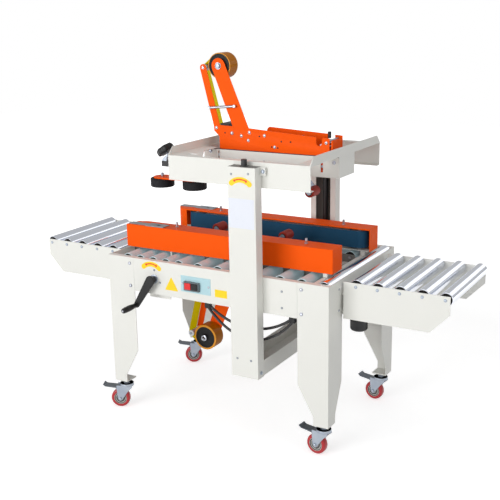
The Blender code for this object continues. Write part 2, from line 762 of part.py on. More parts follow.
def swing_pivot(end):
    """Pivot of a press arm; end 0 is the outfeed arm and 1 the infeed arm."""
    if end == 0:
        return (-SWING_PIVOT_BACK, SWING_PIVOT_IN)
    return (-PRESS_SPACING + SWING_PIVOT_BACK, SWING_PIVOT_IN)


def make_tape_head_frame(head, colour, hangers):
    """Both plates with their spacers, spindles and the pins (s, t, half length) that hang the head."""
    half = TAPE_HEAD_WIDTH / 2
    inside = half - HEAD_PLATE / 2
    pieces = [rod(head.at(s, t), SPACER_R, "Y", -inside, inside, 8) for s, t in SPACERS]
    pieces += [rod(head.at(*swing_pivot(end)), PIN_R, "Y", -inside, inside, 8) for end in (0, 1)]
    span = sorted((head.arm_side * inside, head.arm_side * (inside - TAPE_WIDTH - SPINDLE_PAST_TAPE)))
    pieces.append(rod(head.at(ROLL_S, head.arm_reach), SPINDLE_R, "Y", *span))
    guide = head.at(GUIDE_TOP_S, head.arm_reach - GUIDE_DROP)
    pieces.append(rod(guide, GUIDE_PIN_R, "Y", *span, 8))
    pieces += [rod(head.at(s, t), HANGER_R, "Y", -reach, reach, 8) for s, t, reach in hangers]
    frame = fuse(arm_plate(head), plain_plate(head), *pieces, solver="MANIFOLD")
    finish(frame, f"{head.prefix}_head_plates", colour, 0.4)


def make_tape_roll(head):
    """Tape on its core, free to turn on the spindle."""
    near = head.arm_side * (TAPE_HEAD_WIDTH / 2 - HEAD_PLATE - TAPE_PLAY)
    y = sorted((near, near - head.arm_side * TAPE_WIDTH))
    centre = head.at(ROLL_S, head.arm_reach)
    hole = SPINDLE_R + RUN
    profile = [(hole, y[0]), (head.tape_r, y[0]), (head.tape_r, y[1]), (hole, y[1])]
    roll = turned(profile, centre, "Y", 32)
    finish(roll, f"{head.prefix}_tape_roll", AMBER, 0.35, smooth=True, pivot=(centre[0], 0, centre[1]))


def make_press_arm(head, end, name):
    """Swinging arm with its rubber roller, on a pin between the plates."""
    s = 0 if end == 0 else -PRESS_SPACING
    tip = head.at(s, -ROLLER_REACH)
    pivot = head.at(*swing_pivot(end))
    flank = PRESS_HALF + BITE
    arm = capsule(pivot, tip, SWING_ARM_HALF, SWING_ARM_HALF * 0.8, 4)
    pieces = [prism(arm, "Y", *sorted((side * flank, side * (flank + HEAD_PLATE)))) for side in (-1, 1)]
    reach = flank + HEAD_PLATE / 2
    pieces.append(rod(tip, PRESS_R, "Y", -PRESS_HALF, PRESS_HALF, 20))
    pieces.append(rod(tip, PIN_R, "Y", -reach, reach, 8))
    pieces.append(rod(pivot, SWING_ARM_HALF * 0.8, "Y", -reach, reach, 12))
    arm = fuse(pieces[0], *pieces[1:], solver="MANIFOLD")
    cut(arm, rod(pivot, PIN_R + RUN, "Y", -2 * flank, 2 * flank, 16), solver="MANIFOLD")
    finish(arm, f"{head.prefix}_{name}_arm", RUBBER_RED, 0.6, pivot=(pivot[0], 0, pivot[1]), smooth=True)


def make_tape_head(head, hangers):
    make_tape_head_frame(head, ORANGE, hangers)
    make_tape_roll(head)
    make_press_arm(head, 0, "outfeed_press")
    make_press_arm(head, 1, "infeed_press")


# ---- side belts ----------------------------------------------------------------------------
def cover_outline(side, inset):
    """Plan of a belt cover; its infeed corner next to the carton is rounded."""
    left = COVER_MIDDLE - COVER_HALF_LENGTH + inset
    right = COVER_MIDDLE + COVER_HALF_LENGTH - inset
    inner = COVER_INNER + inset
    outer = COVER_INNER + COVER_WIDTH - inset
    nose = COVER_NOSE - inset
    corner = arc((left + nose, inner + nose), nose, 180, 270, 8)
    points = corner + [(right, inner), (right, outer), (left, outer)]
    return [(x, side * y) for x, y in points]


def make_cover(name, side):
    """Orange sheet cover, open below and along the belt."""
    top = COVER_BOTTOM + COVER_HEIGHT
    shell = prism(cover_outline(side, 0), "Z", COVER_BOTTOM, top)
    hollow = prism(cover_outline(side, COVER_SHEET), "Z", COVER_BOTTOM - OVERCUT, top - COVER_SHEET)
    left = COVER_MIDDLE - COVER_HALF_LENGTH + COVER_NOSE
    right = COVER_MIDDLE + COVER_HALF_LENGTH - COVER_SHEET
    window_y = sorted((side * (COVER_INNER - OVERCUT), side * (COVER_INNER + 2 * OVERCUT)))
    window = box((left, right), window_y, (COVER_BOTTOM - OVERCUT, top - COVER_TOP_LIP))
    finish(cut(shell, hollow, window), name, ORANGE, 0.4, pivot=(0, side * COVER_INNER, COVER_BOTTOM))


def belt_axis():
    """Distance of both pulley axes from the middle plane."""
    return COVER_INNER - BELT_PROUD + BELT_THICK + PULLEY_R


def make_belt(name, side):
    """Flat belt round its two pulleys."""
    y = side * belt_axis()
    half_turn = PULLEY_SIDES // 2
    outer = stadium(IDLER_X, DRIVE_X, y, PULLEY_R + BELT_THICK, half_turn)
    inner = stadium(IDLER_X, DRIVE_X, y, PULLEY_R, half_turn)
    loop = prism(outer, "Z", BELT_BOTTOM, BELT_TOP)
    inside = prism(inner, "Z", BELT_BOTTOM - OVERCUT, BELT_TOP + OVERCUT)
    finish(cut(loop, inside), name, BELT_BLUE, 0.7, smooth=True, pivot=(0, y, BELT_BOTTOM))


def make_carriage(name, side):
    """Belt bed with its pulleys, drive motor, slide foot and the nut lug on the width screw."""
    y = side * belt_axis()
    wall = COVER_SHEET + COVER_PLAY
    base_y = sorted((side * (COVER_INNER + wall), side * (COVER_INNER + COVER_WIDTH - wall)))
    base_x = (IDLER_X - PULLEY_R - BASE_PAST_IDLER, DRIVE_X + PULLEY_R + BASE_PAST_DRIVE)
    floor = COVER_BOTTOM + BASE_LIFT
    base = box(base_x, base_y, (floor, floor + SHEET))
    pieces = []
    for x in (IDLER_X, DRIVE_X):
        pieces.append(rod((x, y), PULLEY_R - CLEAR, "Z", BELT_BOTTOM - 2 * BITE, BELT_TOP, PULLEY_SIDES))
        pieces.append(rod((x, y), PULLEY_SHAFT_R, "Z", floor + BITE, BELT_BOTTOM + 10 * BITE))
    bed_y = (y - BELT_BED_HALF, y + BELT_BED_HALF)
    pieces.append(box((IDLER_X + 5 * BITE, DRIVE_X - 5 * BITE), bed_y, (floor + BITE, BELT_TOP - 4 * BITE)))
    cover_top = COVER_BOTTOM + COVER_HEIGHT - COVER_SHEET
    for x in COVER_BOLTS_X:
        pieces.append(rod((x, y), COVER_BOLT_R, "Z", BELT_TOP - 8 * BITE, cover_top - CLEAR, 12))
    inset = FOOT_INSET
    foot_y = sorted((side * (COVER_INNER + inset), side * (COVER_INNER + COVER_WIDTH - inset)))
    foot_x = (CROSS_RAIL_X[0] - BITE / 2, CROSS_RAIL_X[1])
    pieces.append(box(foot_x, foot_y, (rail_top() + CLEAR, floor + 2 * BITE)))
    pieces.append(rod((DRIVE_X, y), NECK_R, "Z", MOTOR_TOP - 4 * BITE, floor + BITE, 12))
    pieces.append(rod((DRIVE_X, y), MOTOR_R, "Z", MOTOR_BOTTOM, MOTOR_TOP, 24))
    lug_x = (lug_middle - LUG_THICK / 2, lug_middle + LUG_THICK / 2)
    lug_y = sorted((side * LUG_Y[0], side * LUG_Y[1]))
    pieces.append(box(lug_x, lug_y, (SCREW_Z - LUG_DROP, floor + 2 * BITE)))
    nut_x = (screw_x - NUT_HALF, lug_x[1])
    pieces.append(box(nut_x, lug_y, (SCREW_Z - NUT_HALF, SCREW_Z + NUT_HALF)))
    carriage = fuse(base, *pieces)
    hole_y = sorted((side * (LUG_Y[0] - 2 * OVERCUT), side * (LUG_Y[1] + 2 * OVERCUT)))
    cut(carriage, rod((screw_x, SCREW_Z), SCREW_R + RUN, "Y", *hole_y))
    finish(carriage, name, BLACK, 0.5, pivot=(0, y, COVER_BOTTOM))


# ---- crank and width screw -----------------------------------------------------------------
def make_crank():
    """Width crank: tapered arm, turned grip and the screw that it drives."""
    hub = (screw_x, SCREW_Z)
    tip = (screw_x + CRANK_SWING[0], SCREW_Z + CRANK_SWING[1])
    arm_y = (-CRANK_ARM_Y, -CRANK_ARM_Y + CRANK_THICK)
    arm = prism(capsule(hub, tip, CRANK_HUB_R, GRIP_R, 8), "Y", *arm_y)
    boss = rod(hub, CRANK_BOSS_R, "Y", -CRANK_ARM_Y + 2 * BITE, -HALF_W - CRANK_STAND_OFF, 20)
    screw = rod(hub, SCREW_R, "Y", -CRANK_ARM_Y - 4 * BITE, HALF_W - SHEET - CLEAR)
    crank = fuse(arm, boss, screw, turned_grip(tip))
    pivot = (hub[0], -CRANK_ARM_Y, hub[1])
    finish(crank, "width_crank", BLACK, 0.45, pivot=pivot, smooth=True)


def turned_grip(tip):
    """Crank grip with a soft taper, standing out towards the operator."""
    place = PLANES["Y"]
    base = -CRANK_ARM_Y + CRANK_THICK / 2
    end = -CRANK_ARM_Y - GRIP_LENGTH
    profile = [(GRIP_NECK_R, base), (GRIP_NECK_R * 0.9, base - GRIP_NECK), (GRIP_R, base - GRIP_SWELL),
               (GRIP_R, end + GRIP_NOSE), (GRIP_NOSE, end)]

    def build(bm):
        rings = []
        for radius, along in profile:
            rings.append([bm.verts.new(place(a, b, along)) for a, b in circle(tip, radius, 16)])
        for here, there in zip(rings, rings[1:]):
            for i in range(16):
                j = (i + 1) % 16
                bm.faces.new((here[i], here[j], there[j], there[i]))
        bm.faces.new(rings[0])
        bm.faces.new(rings[-1])
    return solid("work", build)


# ---- carton press rollers ------------------------------------------------------------------
def make_press_bracket():
    """Arm on the head frame with the plate that carries the two press rollers."""
    plate_z = DISC_BOTTOM + DISC_HEIGHT + CLEAR
    plate_top = plate_z + PRESS_BAR_THICK
    bar = prism(stadium(DISC_X[0], DISC_X[1], DISC_Y, PRESS_BAR_HALF, 8), "Z", plate_z, plate_top)
    pin_z = (DISC_BOTTOM - 2 * BITE, plate_top + DISC_PIN_HEAD)
    pins = [rod((x, DISC_Y), DISC_PIN_R, "Z", *pin_z, 12) for x in DISC_X]
    middle = (DISC_X[0] + DISC_X[1]) / 2
    half = STUB_SIZE / 2
    stub_z = (STUB_BOTTOM, STUB_BOTTOM + STUB_SIZE)
    stub_x = (KNOB_CENTRE[0] - STUB_PAST_KNOB, HEAD_LEFT - CLEAR)
    stub = box(stub_x, (DISC_Y - half, DISC_Y + half), stub_z)
    thin = half * 0.8
    post = box((middle - thin, middle + thin), (DISC_Y - thin, DISC_Y + thin),
               (plate_z + BITE, stub_z[0] + 4 * BITE))
    pad_x = (HEAD_LEFT - CLEAR - PAD_THICK, HEAD_LEFT - CLEAR)
    pad_top = HEAD_BOTTOM + HEAD_HEIGHT + HEAD_LIP * 0.8
    pad = box(pad_x, (DISC_Y - PAD_HALF, DISC_Y + PAD_HALF), (stub_z[0] + 3 * BITE, pad_top))
    foot = (KNOB_CENTRE[0], stub_z[1])
    plate = prism([(foot[0] - 0.011, foot[1] - 0.004), (foot[0] + 0.011, foot[1] - 0.004),
                   (foot[0] + 0.011, foot[1] + 0.012), (foot[0] + 0.018, foot[1] + 0.022),
                   (foot[0] + 0.014, foot[1] + 0.025), (foot[0] - 0.009, foot[1] + 0.009)], "Y",
                  DISC_Y - half * 0.9, DISC_Y + half * 0.9)
    frame = fuse(bar, *pins, stub, post, pad, plate)
    screw = rod((0, 0), KNOB_SCREW_R, "Z", -KNOB_SCREW_REACH, -KNOB_HALF + KNOB_SCREW_IN, 12)
    tilt_knob(screw)
    finish(fuse(frame, screw), "press_bracket", ORANGE, 0.4)


def tilt_knob(piece):
    """Lean a piece made about the origin towards the infeed and set it at the knob's place."""
    centre = Vector((KNOB_CENTRE[0], DISC_Y, KNOB_CENTRE[1]))
    piece.data.transform(Matrix.Translation(centre) @ Matrix.Rotation(-KNOB_TILT, 4, "Y"))
    return piece


def make_knob():
    """Lobed clamp knob of the press bracket."""
    steps = KNOB_LOBES * 6
    outline = []
    for k in range(steps):
        angle = 2 * math.pi * k / steps
        reach = KNOB_R - KNOB_SCOOP * (1 - math.cos(KNOB_LOBES * angle)) / 2
        outline.append((reach * math.cos(angle), reach * math.sin(angle)))
    knob = prism(outline, "Z", -KNOB_HALF, KNOB_HALF)
    hole = rod((0, 0), KNOB_SCREW_R + RUN, "Z", -2 * KNOB_HALF, -KNOB_HALF + KNOB_SCREW_IN + BITE, 12)
    cut(knob, hole)
    tilt_knob(knob)
    finish(knob, "press_knob", BLACK, 0.5, smooth=True, pivot=(KNOB_CENTRE[0], DISC_Y, KNOB_CENTRE[1]))


def make_press_discs():
    hole = DISC_PIN_R + RUN
    low, high = DISC_BOTTOM, DISC_BOTTOM + DISC_HEIGHT
    profile = [(hole, low), (DISC_R, low), (DISC_R, high), (hole, high)]
    for name, x in zip(("infeed_press_disc", "outfeed_press_disc"), DISC_X):
        disc = turned(profile, (x, DISC_Y), "Z", 24)
        finish(disc, name, BLACK, 0.6, smooth=True, pivot=(x, DISC_Y, low))


# ---- casters -------------------------------------------------------------------------------
def make_caster(corner, side_x, side_y, heading):
    """Swivel caster: fork with its stem, braked wheel and pedal. Heading is where the wheel trails."""
    stem = (side_x * (HALF_L - STEM_INSET), side_y * (HALF_W - STEM_INSET), 0)
    crown = RACE_BOTTOM + 3 * BITE
    cheek = [(-0.024, crown), (0.042, crown), (0.042, 0.083), (0.038, WHEEL_R), (0.034, 0.032),
             (TRAIL, 0.029), (0.022, 0.032), (-0.008, 0.074), (-0.024, 0.088)]
    outer = FORK_INNER + FORK_SHEET
    pieces = [prism(cheek, "Y", *sorted((side * FORK_INNER, side * outer))) for side in (-1, 1)]
    reach = outer + 2 * BITE
    pieces.append(rod((TRAIL, WHEEL_R), CASTER_AXLE_R, "Y", -reach, reach, 8))
    pieces.append(rod(PEDAL_PIVOT, PEDAL_PIN_R, "Y", -FORK_INNER - BITE, FORK_INNER + BITE, 8))
    race = rod((0, 0), RACE_R, "Z", RACE_BOTTOM, RACE_TOP, 16)
    stem_rod = rod((0, 0), STEM_R, "Z", RACE_TOP - 2 * BITE, LEG_BOTTOM - CLEAR, 8)
    nut = rod((0, 0), STEM_NUT_R, "Z", RACE_TOP - BITE, RACE_TOP + STEM_NUT_HEIGHT, 6)
    fork = fuse(race, *pieces, stem_rod, nut)
    wheel = make_wheel()
    pedal = make_pedal()
    angle = math.radians(heading)
    spin = Matrix.Translation(Vector(stem)) @ Matrix.Rotation(angle, 4, "Z")
    for piece in (fork, wheel, pedal):
        piece.data.transform(spin)
    axle_place = spin @ Vector((TRAIL, 0, WHEEL_R))
    pedal_place = spin @ Vector((PEDAL_PIVOT[0], 0, PEDAL_PIVOT[1]))
    finish(fork, f"caster_fork_{corner}", ZINC, 0.35, 0.9, pivot=stem)
    finish(wheel, f"caster_wheel_{corner}", TYRE_RED, 0.4, smooth=True, pivot=axle_place)
    finish(pedal, f"brake_pedal_{corner}", ZINC, 0.35, 0.9, pivot=pedal_place)


def make_wheel():
    """Tyre and hub of a caster, with the axle's hole."""
    hole = CASTER_AXLE_R + RUN
    shoulder = WHEEL_R - TYRE_EDGE
    flat = WHEEL_HALF - TYRE_EDGE
    profile = [(hole, -WHEEL_HALF), (shoulder, -WHEEL_HALF), (WHEEL_R, -flat),
               (WHEEL_R, flat), (shoulder, WHEEL_HALF), (hole, WHEEL_HALF)]
    return turned(profile, (TRAIL, WHEEL_R), "Y", 24)


def make_pedal():
    """Brake pedal: a cam between the cheeks and a foot plate behind the wheel."""
    cam_half = FORK_INNER - PEDAL_PLAY
    cam = [(0.031, 0.0835), (0.046, 0.0835), (0.046, 0.0935), (0.031, 0.0935)]
    block = prism(cam, "Y", -cam_half, cam_half)
    tread = [(0.0435, 0.0875), (0.090, 0.0935), (PEDAL_REACH, 0.102), (PEDAL_REACH - 0.002, 0.104),
             (0.088, 0.0965), (0.0435, 0.0925)]
    plate = prism(tread, "Y", -TREAD_HALF, TREAD_HALF)
    pedal = fuse(block, plate)
    return cut(pedal, rod(PEDAL_PIVOT, PEDAL_PIN_R + RUN, "Y", -2 * TREAD_HALF, 2 * TREAD_HALF, 8))


# ---- hanging cables ------------------------------------------------------------------------
def cable_route(low, spread):
    """A sagging route between the two clips, as points on a smooth curve."""
    points = []
    top = PANEL_BOTTOM - CLIP_SIZE / 2 - CLEAR
    for k in range(CABLE_STEPS + 1):
        u = k / CABLE_STEPS
        sag = 1 - (2 * u - 1) ** 2
        x = CABLE_LEFT + spread + (CABLE_RIGHT - CABLE_LEFT - 2 * spread) * u
        points.append((x, CABLE_Y, top - (top - low) * sag ** CABLE_FULLNESS))
    return points


def make_cable(points):
    """A round tube along the route."""
    curve = bpy.data.curves.new("cable", "CURVE")
    curve.dimensions = "3D"
    curve.bevel_depth = CABLE_R
    curve.bevel_resolution = 2
    curve.use_fill_caps = True
    line = curve.splines.new("POLY")
    line.points.add(len(points) - 1)
    for knot, place in zip(line.points, points):
        knot.co = (*place, 1)
    holder = bpy.data.objects.new("cable", curve)
    bpy.context.collection.objects.link(holder)
    graph = bpy.context.evaluated_depsgraph_get()
    mesh = bpy.data.meshes.new_from_object(holder.evaluated_get(graph))
    bpy.data.objects.remove(holder, do_unlink=True)
    return link(mesh, "work")


def make_cables():
    """Two motor cables that hang under the bed between their clips."""
    half = CLIP_SIZE / 2
    clip_y = (CABLE_Y - CLIP_HALF_DEPTH, CABLE_Y + CLIP_HALF_DEPTH)
    clip_z = (PANEL_BOTTOM - CLIP_SIZE - CLEAR, PANEL_BOTTOM - CLEAR)
    clips = [box((x - half, x + half), clip_y, clip_z) for x in (CABLE_LEFT, CABLE_RIGHT)]
    upper = make_cable(cable_route(CABLE_UPPER_LOW, CABLE_SPREAD))
    lower = make_cable(cable_route(CABLE_LOW, -CABLE_SPREAD))
    finish(fuse(clips[0], upper, lower, clips[1]), "motor_cables", BLACK, 0.6, smooth=True)


# ---- assembly ------------------------------------------------------------------------------
clear_scene()
machine = bpy.data.objects.new("machine", None)
bpy.context.collection.objects.link(machine)
machine.location = (0, SIDE_SHIFT, 0)

close_rollers = bed_roller_places()[-CLOSE_COUNT - 1:]
lug_middle = (close_rollers[1] + close_rollers[2]) / 2
screw_x = lug_middle - LUG_BACK

for corner, side_x, side_y, heading in (("front_left", -1, -1, 205), ("front_right", 1, -1, 175),
                                        ("back_left", -1, 1, 205), ("back_right", 1, 1, 175)):
    make_leg(f"leg_{corner}", side_x, side_y)
    make_caster(corner, side_x, side_y, heading)
make_front_panel()
make_back_panel()
make_end_plates()
make_buttons()
make_bed_subframe()
make_full_roller("bed_end_roller", bed_roller_places()[0], PASS_LINE - ROLLER_R, HALF_W - SHEET)
for prefix, side in (("infeed", -1), ("outfeed", 1)):
    make_table(f"{prefix}_table", side)
    make_table_rollers(prefix, side)
make_column("front_column", -1)
make_column("rear_column", 1)
make_channel()
make_head_frame()
cradle_reach = CRADLE_WIDTH / 2 - SHEET - CLEAR
make_tape_head(TapeHead("upper", UPPER_X, UPPER_EDGE, 1, -1, UPPER_ARM_REACH, UPPER_TAPE_R),
               [(*place, cradle_reach) for place in HANGERS])
make_tape_head(TapeHead("lower", LOWER_X, LOWER_EDGE, -1, 1, LOWER_ARM_REACH, LOWER_TAPE_R), [])
for prefix, side in (("near", -1), ("far", 1)):
    make_cover(f"{prefix}_belt_cover", side)
    make_belt(f"{prefix}_belt", side)
    make_carriage(f"{prefix}_belt_carriage", side)
make_crank()
make_press_bracket()
make_knob()
make_press_discs()
make_cables()
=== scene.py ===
import json
import math

import bpy
import bmesh
from mathutils import Matrix, Vector


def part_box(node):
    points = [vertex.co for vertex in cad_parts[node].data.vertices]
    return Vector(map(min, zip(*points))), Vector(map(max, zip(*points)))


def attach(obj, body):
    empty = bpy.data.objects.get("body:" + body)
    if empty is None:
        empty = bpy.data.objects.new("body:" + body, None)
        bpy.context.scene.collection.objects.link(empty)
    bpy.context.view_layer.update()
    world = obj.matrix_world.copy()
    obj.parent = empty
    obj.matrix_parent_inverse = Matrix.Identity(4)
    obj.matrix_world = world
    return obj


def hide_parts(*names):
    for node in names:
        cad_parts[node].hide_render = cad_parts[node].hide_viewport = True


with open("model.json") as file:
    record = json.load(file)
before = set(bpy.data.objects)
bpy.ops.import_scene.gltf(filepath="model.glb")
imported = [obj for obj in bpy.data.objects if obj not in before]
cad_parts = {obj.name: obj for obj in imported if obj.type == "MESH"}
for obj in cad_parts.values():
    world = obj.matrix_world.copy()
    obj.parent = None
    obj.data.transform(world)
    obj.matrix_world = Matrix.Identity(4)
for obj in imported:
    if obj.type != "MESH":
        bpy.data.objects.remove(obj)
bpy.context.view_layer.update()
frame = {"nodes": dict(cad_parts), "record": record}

# Finishes, fasteners, rollers, belts, tape and wheels of the carton sealer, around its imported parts.
# Metres, +X along the carton's travel, -Y towards the operator, +Z up.

MIDDLE = sum(corner.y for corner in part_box("bed_end_roller")) / 2
BODY_OF = {node: body for body, nodes in frame["record"]["behaviour"]["bodies"].items() for node in nodes}
SHARP = math.radians(32)
PAINT_EDGE = 0.0009         # rounding of painted sheet edges
HAIR = 0.0002               # a label's or a washer's stand-off
FRONT, BACK, RIGHT, UP = (0, -1, 0), (0, 1, 0), (1, 0, 0), (0, 0, 1)
FRAME_BODY, HEAD_BODY = "machine_frame", "tape_head_frame"


def at(x, y, z):
    """A place given from the middle plane of the roller bed."""
    return Vector((x, MIDDLE + y, z))


def box_of(node):
    """Low and high corners of a CAD node, with Y from the middle plane."""
    low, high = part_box(node)
    shift = Vector((0, MIDDLE, 0))
    return low - shift, high - shift


def centre_of(node):
    low, high = box_of(node)
    return (low + high) / 2


def screen(red, green, blue):
    """A colour seen on a display, as the linear values that shaders take."""
    linear = [c / 12.92 if c <= 0.04045 else ((c + 0.055) / 1.055) ** 2.4 for c in (red, green, blue)]
    return (*linear, 1.0)


# ---- node building -------------------------------------------------------------------------
def node(tree, kind, inputs=None, **settings):
    """Add a node, with its settings and its inputs: a socket is linked and anything else is set."""
    made = tree.nodes.new(kind)
    for name, value in settings.items():
        setattr(made, name, value)
    for name, value in (inputs or {}).items():
        socket = made.inputs[name]
        if isinstance(value, bpy.types.NodeSocket):
            tree.links.new(value, socket)
        else:
            socket.default_value = value
    return made


def new_group(name, inputs, outputs, kind="ShaderNodeTree"):
    """A node group with named sockets, and its input and output nodes."""
    tree = bpy.data.node_groups.new(name, kind)
    for label, socket_type, value in inputs:
        socket = tree.interface.new_socket(label, in_out="INPUT", socket_type=socket_type)
        if value is not None:
            socket.default_value = value
    for label, socket_type in outputs:
        tree.interface.new_socket(label, in_out="OUTPUT", socket_type=socket_type)
    return tree, tree.nodes.new("NodeGroupInput"), tree.nodes.new("NodeGroupOutput")


def ramp(tree, value, low, high, to_low, to_high):
    """Map a value's range onto another."""
    return node(tree, "ShaderNodeMapRange", {"Value": value, "From Min": low, "From Max": high,
                                             "To Min": to_low, "To Max": to_high}).outputs[0]


def tinted(tree, factor, first, second, blend="MIX"):
    mix = node(tree, "ShaderNodeMix", data_type="RGBA", blend_type=blend)
    for socket, value in ((mix.inputs[0], factor), (mix.inputs[6], first), (mix.inputs[7], second)):
        if isinstance(value, bpy.types.NodeSocket):
            tree.links.new(value, socket)
        else:
            socket.default_value = value
    return mix.outputs[2]


def maths(tree, operation, first, second):
    return node(tree, "ShaderNodeMath", {0: first, 1: second}, operation=operation).outputs[0]


def noise(tree, place, scale, detail, roughness=0.5):
    settings = {"Vector": place, "Scale": scale, "Detail": detail, "Roughness": roughness}
    return node(tree, "ShaderNodeTexNoise", settings).outputs[0]


def share(tree, value, low, high, amount):
    """How far a value has come from low to high, times an amount."""
    return maths(tree, "MULTIPLY", ramp(tree, value, low, high, 0.0, 1.0), amount)


SURFACE = (("Colour", "NodeSocketColor"), ("Roughness", "NodeSocketFloat"), ("Normal", "NodeSocketVector"))


def surface_group(name, extra):
    """A finish's group, with its sockets and the piece's own coordinates."""
    shared = [("Colour", "NodeSocketColor", (0.8, 0.8, 0.8, 1)), ("Roughness", "NodeSocketFloat", 0.4)]
    tree, given, made = new_group(name, shared + extra, SURFACE)
    place = node(tree, "ShaderNodeTexCoord").outputs["Object"]
    return tree, given.outputs, made.inputs, place


def lead_out(tree, given, made, colour, tone, swing, relief, distance, height):
    """Send out a colour, the roughness swung by a tone, and a relief of the given strength."""
    rough = maths(tree, "ADD", given["Roughness"], ramp(tree, tone, 0.3, 0.7, *swing))
    bump = node(tree, "ShaderNodeBump", {"Strength": given[relief], "Distance": distance, "Height": height})
    for label, socket in (("Colour", colour), ("Roughness", rough), ("Normal", bump.outputs[0])):
        tree.links.new(socket, made[label])


def make_powder_coat():
    """Baked paint: faint cloudiness, orange peel, a breath of dust on the faces that look up."""
    tree, given, made, place = surface_group("powder_coat", [
        ("Cloud", "NodeSocketFloat", 0.05), ("Peel", "NodeSocketFloat", 0.1), ("Dust", "NodeSocketFloat", 0.1)])
    cloud = noise(tree, place, 4.0, 4.0)
    fine = noise(tree, place, 55.0, 3.0)
    peel = noise(tree, place, 950.0, 2.0)
    darker = tinted(tree, 1.0, given["Colour"], (0.62, 0.60, 0.58, 1), "MULTIPLY")
    clouded = tinted(tree, share(tree, cloud, 0.3, 0.7, given["Cloud"]), given["Colour"], darker)
    normal = node(tree, "ShaderNodeNewGeometry").outputs["Normal"]
    up = node(tree, "ShaderNodeSeparateXYZ", {0: normal}).outputs[2]
    lying = share(tree, up, 0.5, 1.0, ramp(tree, fine, 0.35, 0.7, 0.2, 1.0))
    dust = maths(tree, "MULTIPLY", lying, given["Dust"])
    dusty = tinted(tree, dust, clouded, (0.50, 0.47, 0.43, 1))
    lead_out(tree, given, made, dusty, fine, (-0.05, 0.06), "Peel", 0.0003, peel)
    return tree


def make_drawn_metal():
    """Turned or drawn metal: fine lines along a chosen stretch, with clouded plating under them."""
    tree, given, made, place = surface_group("drawn_metal", [
        ("Stretch", "NodeSocketVector", (1, 1, 1)), ("Lines", "NodeSocketFloat", 0.1),
        ("Plating", "NodeSocketFloat", 0.1)])
    drawn = node(tree, "ShaderNodeVectorMath", {0: place, 1: given["Stretch"]}, operation="MULTIPLY").outputs[0]
    lines = noise(tree, drawn, 1.0, 3.0, 0.7)
    cloud = noise(tree, place, 22.0, 3.0)
    dull = tinted(tree, 1.0, given["Colour"], (0.55, 0.62, 0.74, 1), "MULTIPLY")
    plated = tinted(tree, share(tree, cloud, 0.35, 0.65, given["Plating"]), given["Colour"], dull)
    scored = tinted(tree, share(tree, lines, 0.45, 0.62, given["Lines"]), plated, (0.30, 0.31, 0.34, 1))
    lead_out(tree, given, made, scored, lines, (-0.06, 0.1), "Lines", 0.00015, lines)
    return tree


def make_moulded():
    """Moulded plastic, rubber and film: a fine grain, scuffs and a slight unevenness of colour."""
    tree, given, made, place = surface_group("moulded_grain", [
        ("Grain", "NodeSocketFloat", 600.0), ("Depth", "NodeSocketFloat", 0.15),
        ("Scuff", "NodeSocketFloat", 0.15), ("Scuff Colour", "NodeSocketColor", (0.3, 0.3, 0.3, 1))])
    grain = noise(tree, place, given["Grain"], 2.0)
    patches = noise(tree, place, 30.0, 5.0, 0.7)
    worn = tinted(tree, share(tree, patches, 0.5, 0.75, given["Scuff"]), given["Colour"], given["Scuff Colour"])
    lead_out(tree, given, made, worn, patches, (-0.06, 0.08), "Depth", 0.0003, grain)
    return tree


POWDER_COAT = make_powder_coat()
DRAWN_METAL = make_drawn_metal()
MOULDED = make_moulded()


def surface(name, group, colour, roughness, metallic=0.0, coat=0.0, gloss=0.5, **values):
    """A Principled material fed by one of the surface groups."""
    made = bpy.data.materials.new(name)
    made.use_nodes = True
    tree = made.node_tree
    shader = tree.nodes["Principled BSDF"]
    pattern = node(tree, "ShaderNodeGroup", node_tree=group)
    pattern.inputs["Colour"].default_value = colour
    pattern.inputs["Roughness"].default_value = roughness
    for label, value in values.items():
        pattern.inputs[label.replace("_", " ")].default_value = value
    tree.links.new(pattern.outputs["Colour"], shader.inputs["Base Color"])
    tree.links.new(pattern.outputs["Roughness"], shader.inputs["Roughness"])
    tree.links.new(pattern.outputs["Normal"], shader.inputs["Normal"])
    shader.inputs["Metallic"].default_value = metallic
    shader.inputs["Specular IOR Level"].default_value = gloss
    shader.inputs["Coat Weight"].default_value = coat
    shader.inputs["Coat Roughness"].default_value = 0.15
    return made


def paint(name, colour, roughness=0.38, **values):
    return surface(name, POWDER_COAT, colour, roughness, **values)


def metal(name, colour, roughness, stretch=(400, 400, 400), metallic=1.0, **values):
    return surface(name, DRAWN_METAL, colour, roughness, metallic, Stretch=stretch, **values)


def plastic(name, colour, roughness, **values):
    return surface(name, MOULDED, colour, roughness, **values)


CREAM = paint("cream_coat", screen(0.91, 0.91, 0.888), gloss=0.35, Cloud=0.05, Peel=0.12, Dust=0.05)
ORANGE = paint("orange_coat", screen(1.0, 0.365, 0.06), 0.42, gloss=0.05, Cloud=0.04, Peel=0.12, Dust=0.03)
# Flat grey that stands for shade: painted shade inside the columns' folds and on the bed rails under the
# rollers.
PAINTED_SHADE_GREY = paint("painted_shade_grey", screen(0.50, 0.495, 0.48), 0.6, gloss=0.2, Cloud=0.2, Peel=0.2, Dust=0.1)
ALONG_ROLLER = (700, 9, 700)
STEEL_ROLLER = metal("roller_steel", screen(0.90, 0.915, 0.95), 0.13, ALONG_ROLLER, Lines=0.012, Plating=0.0)
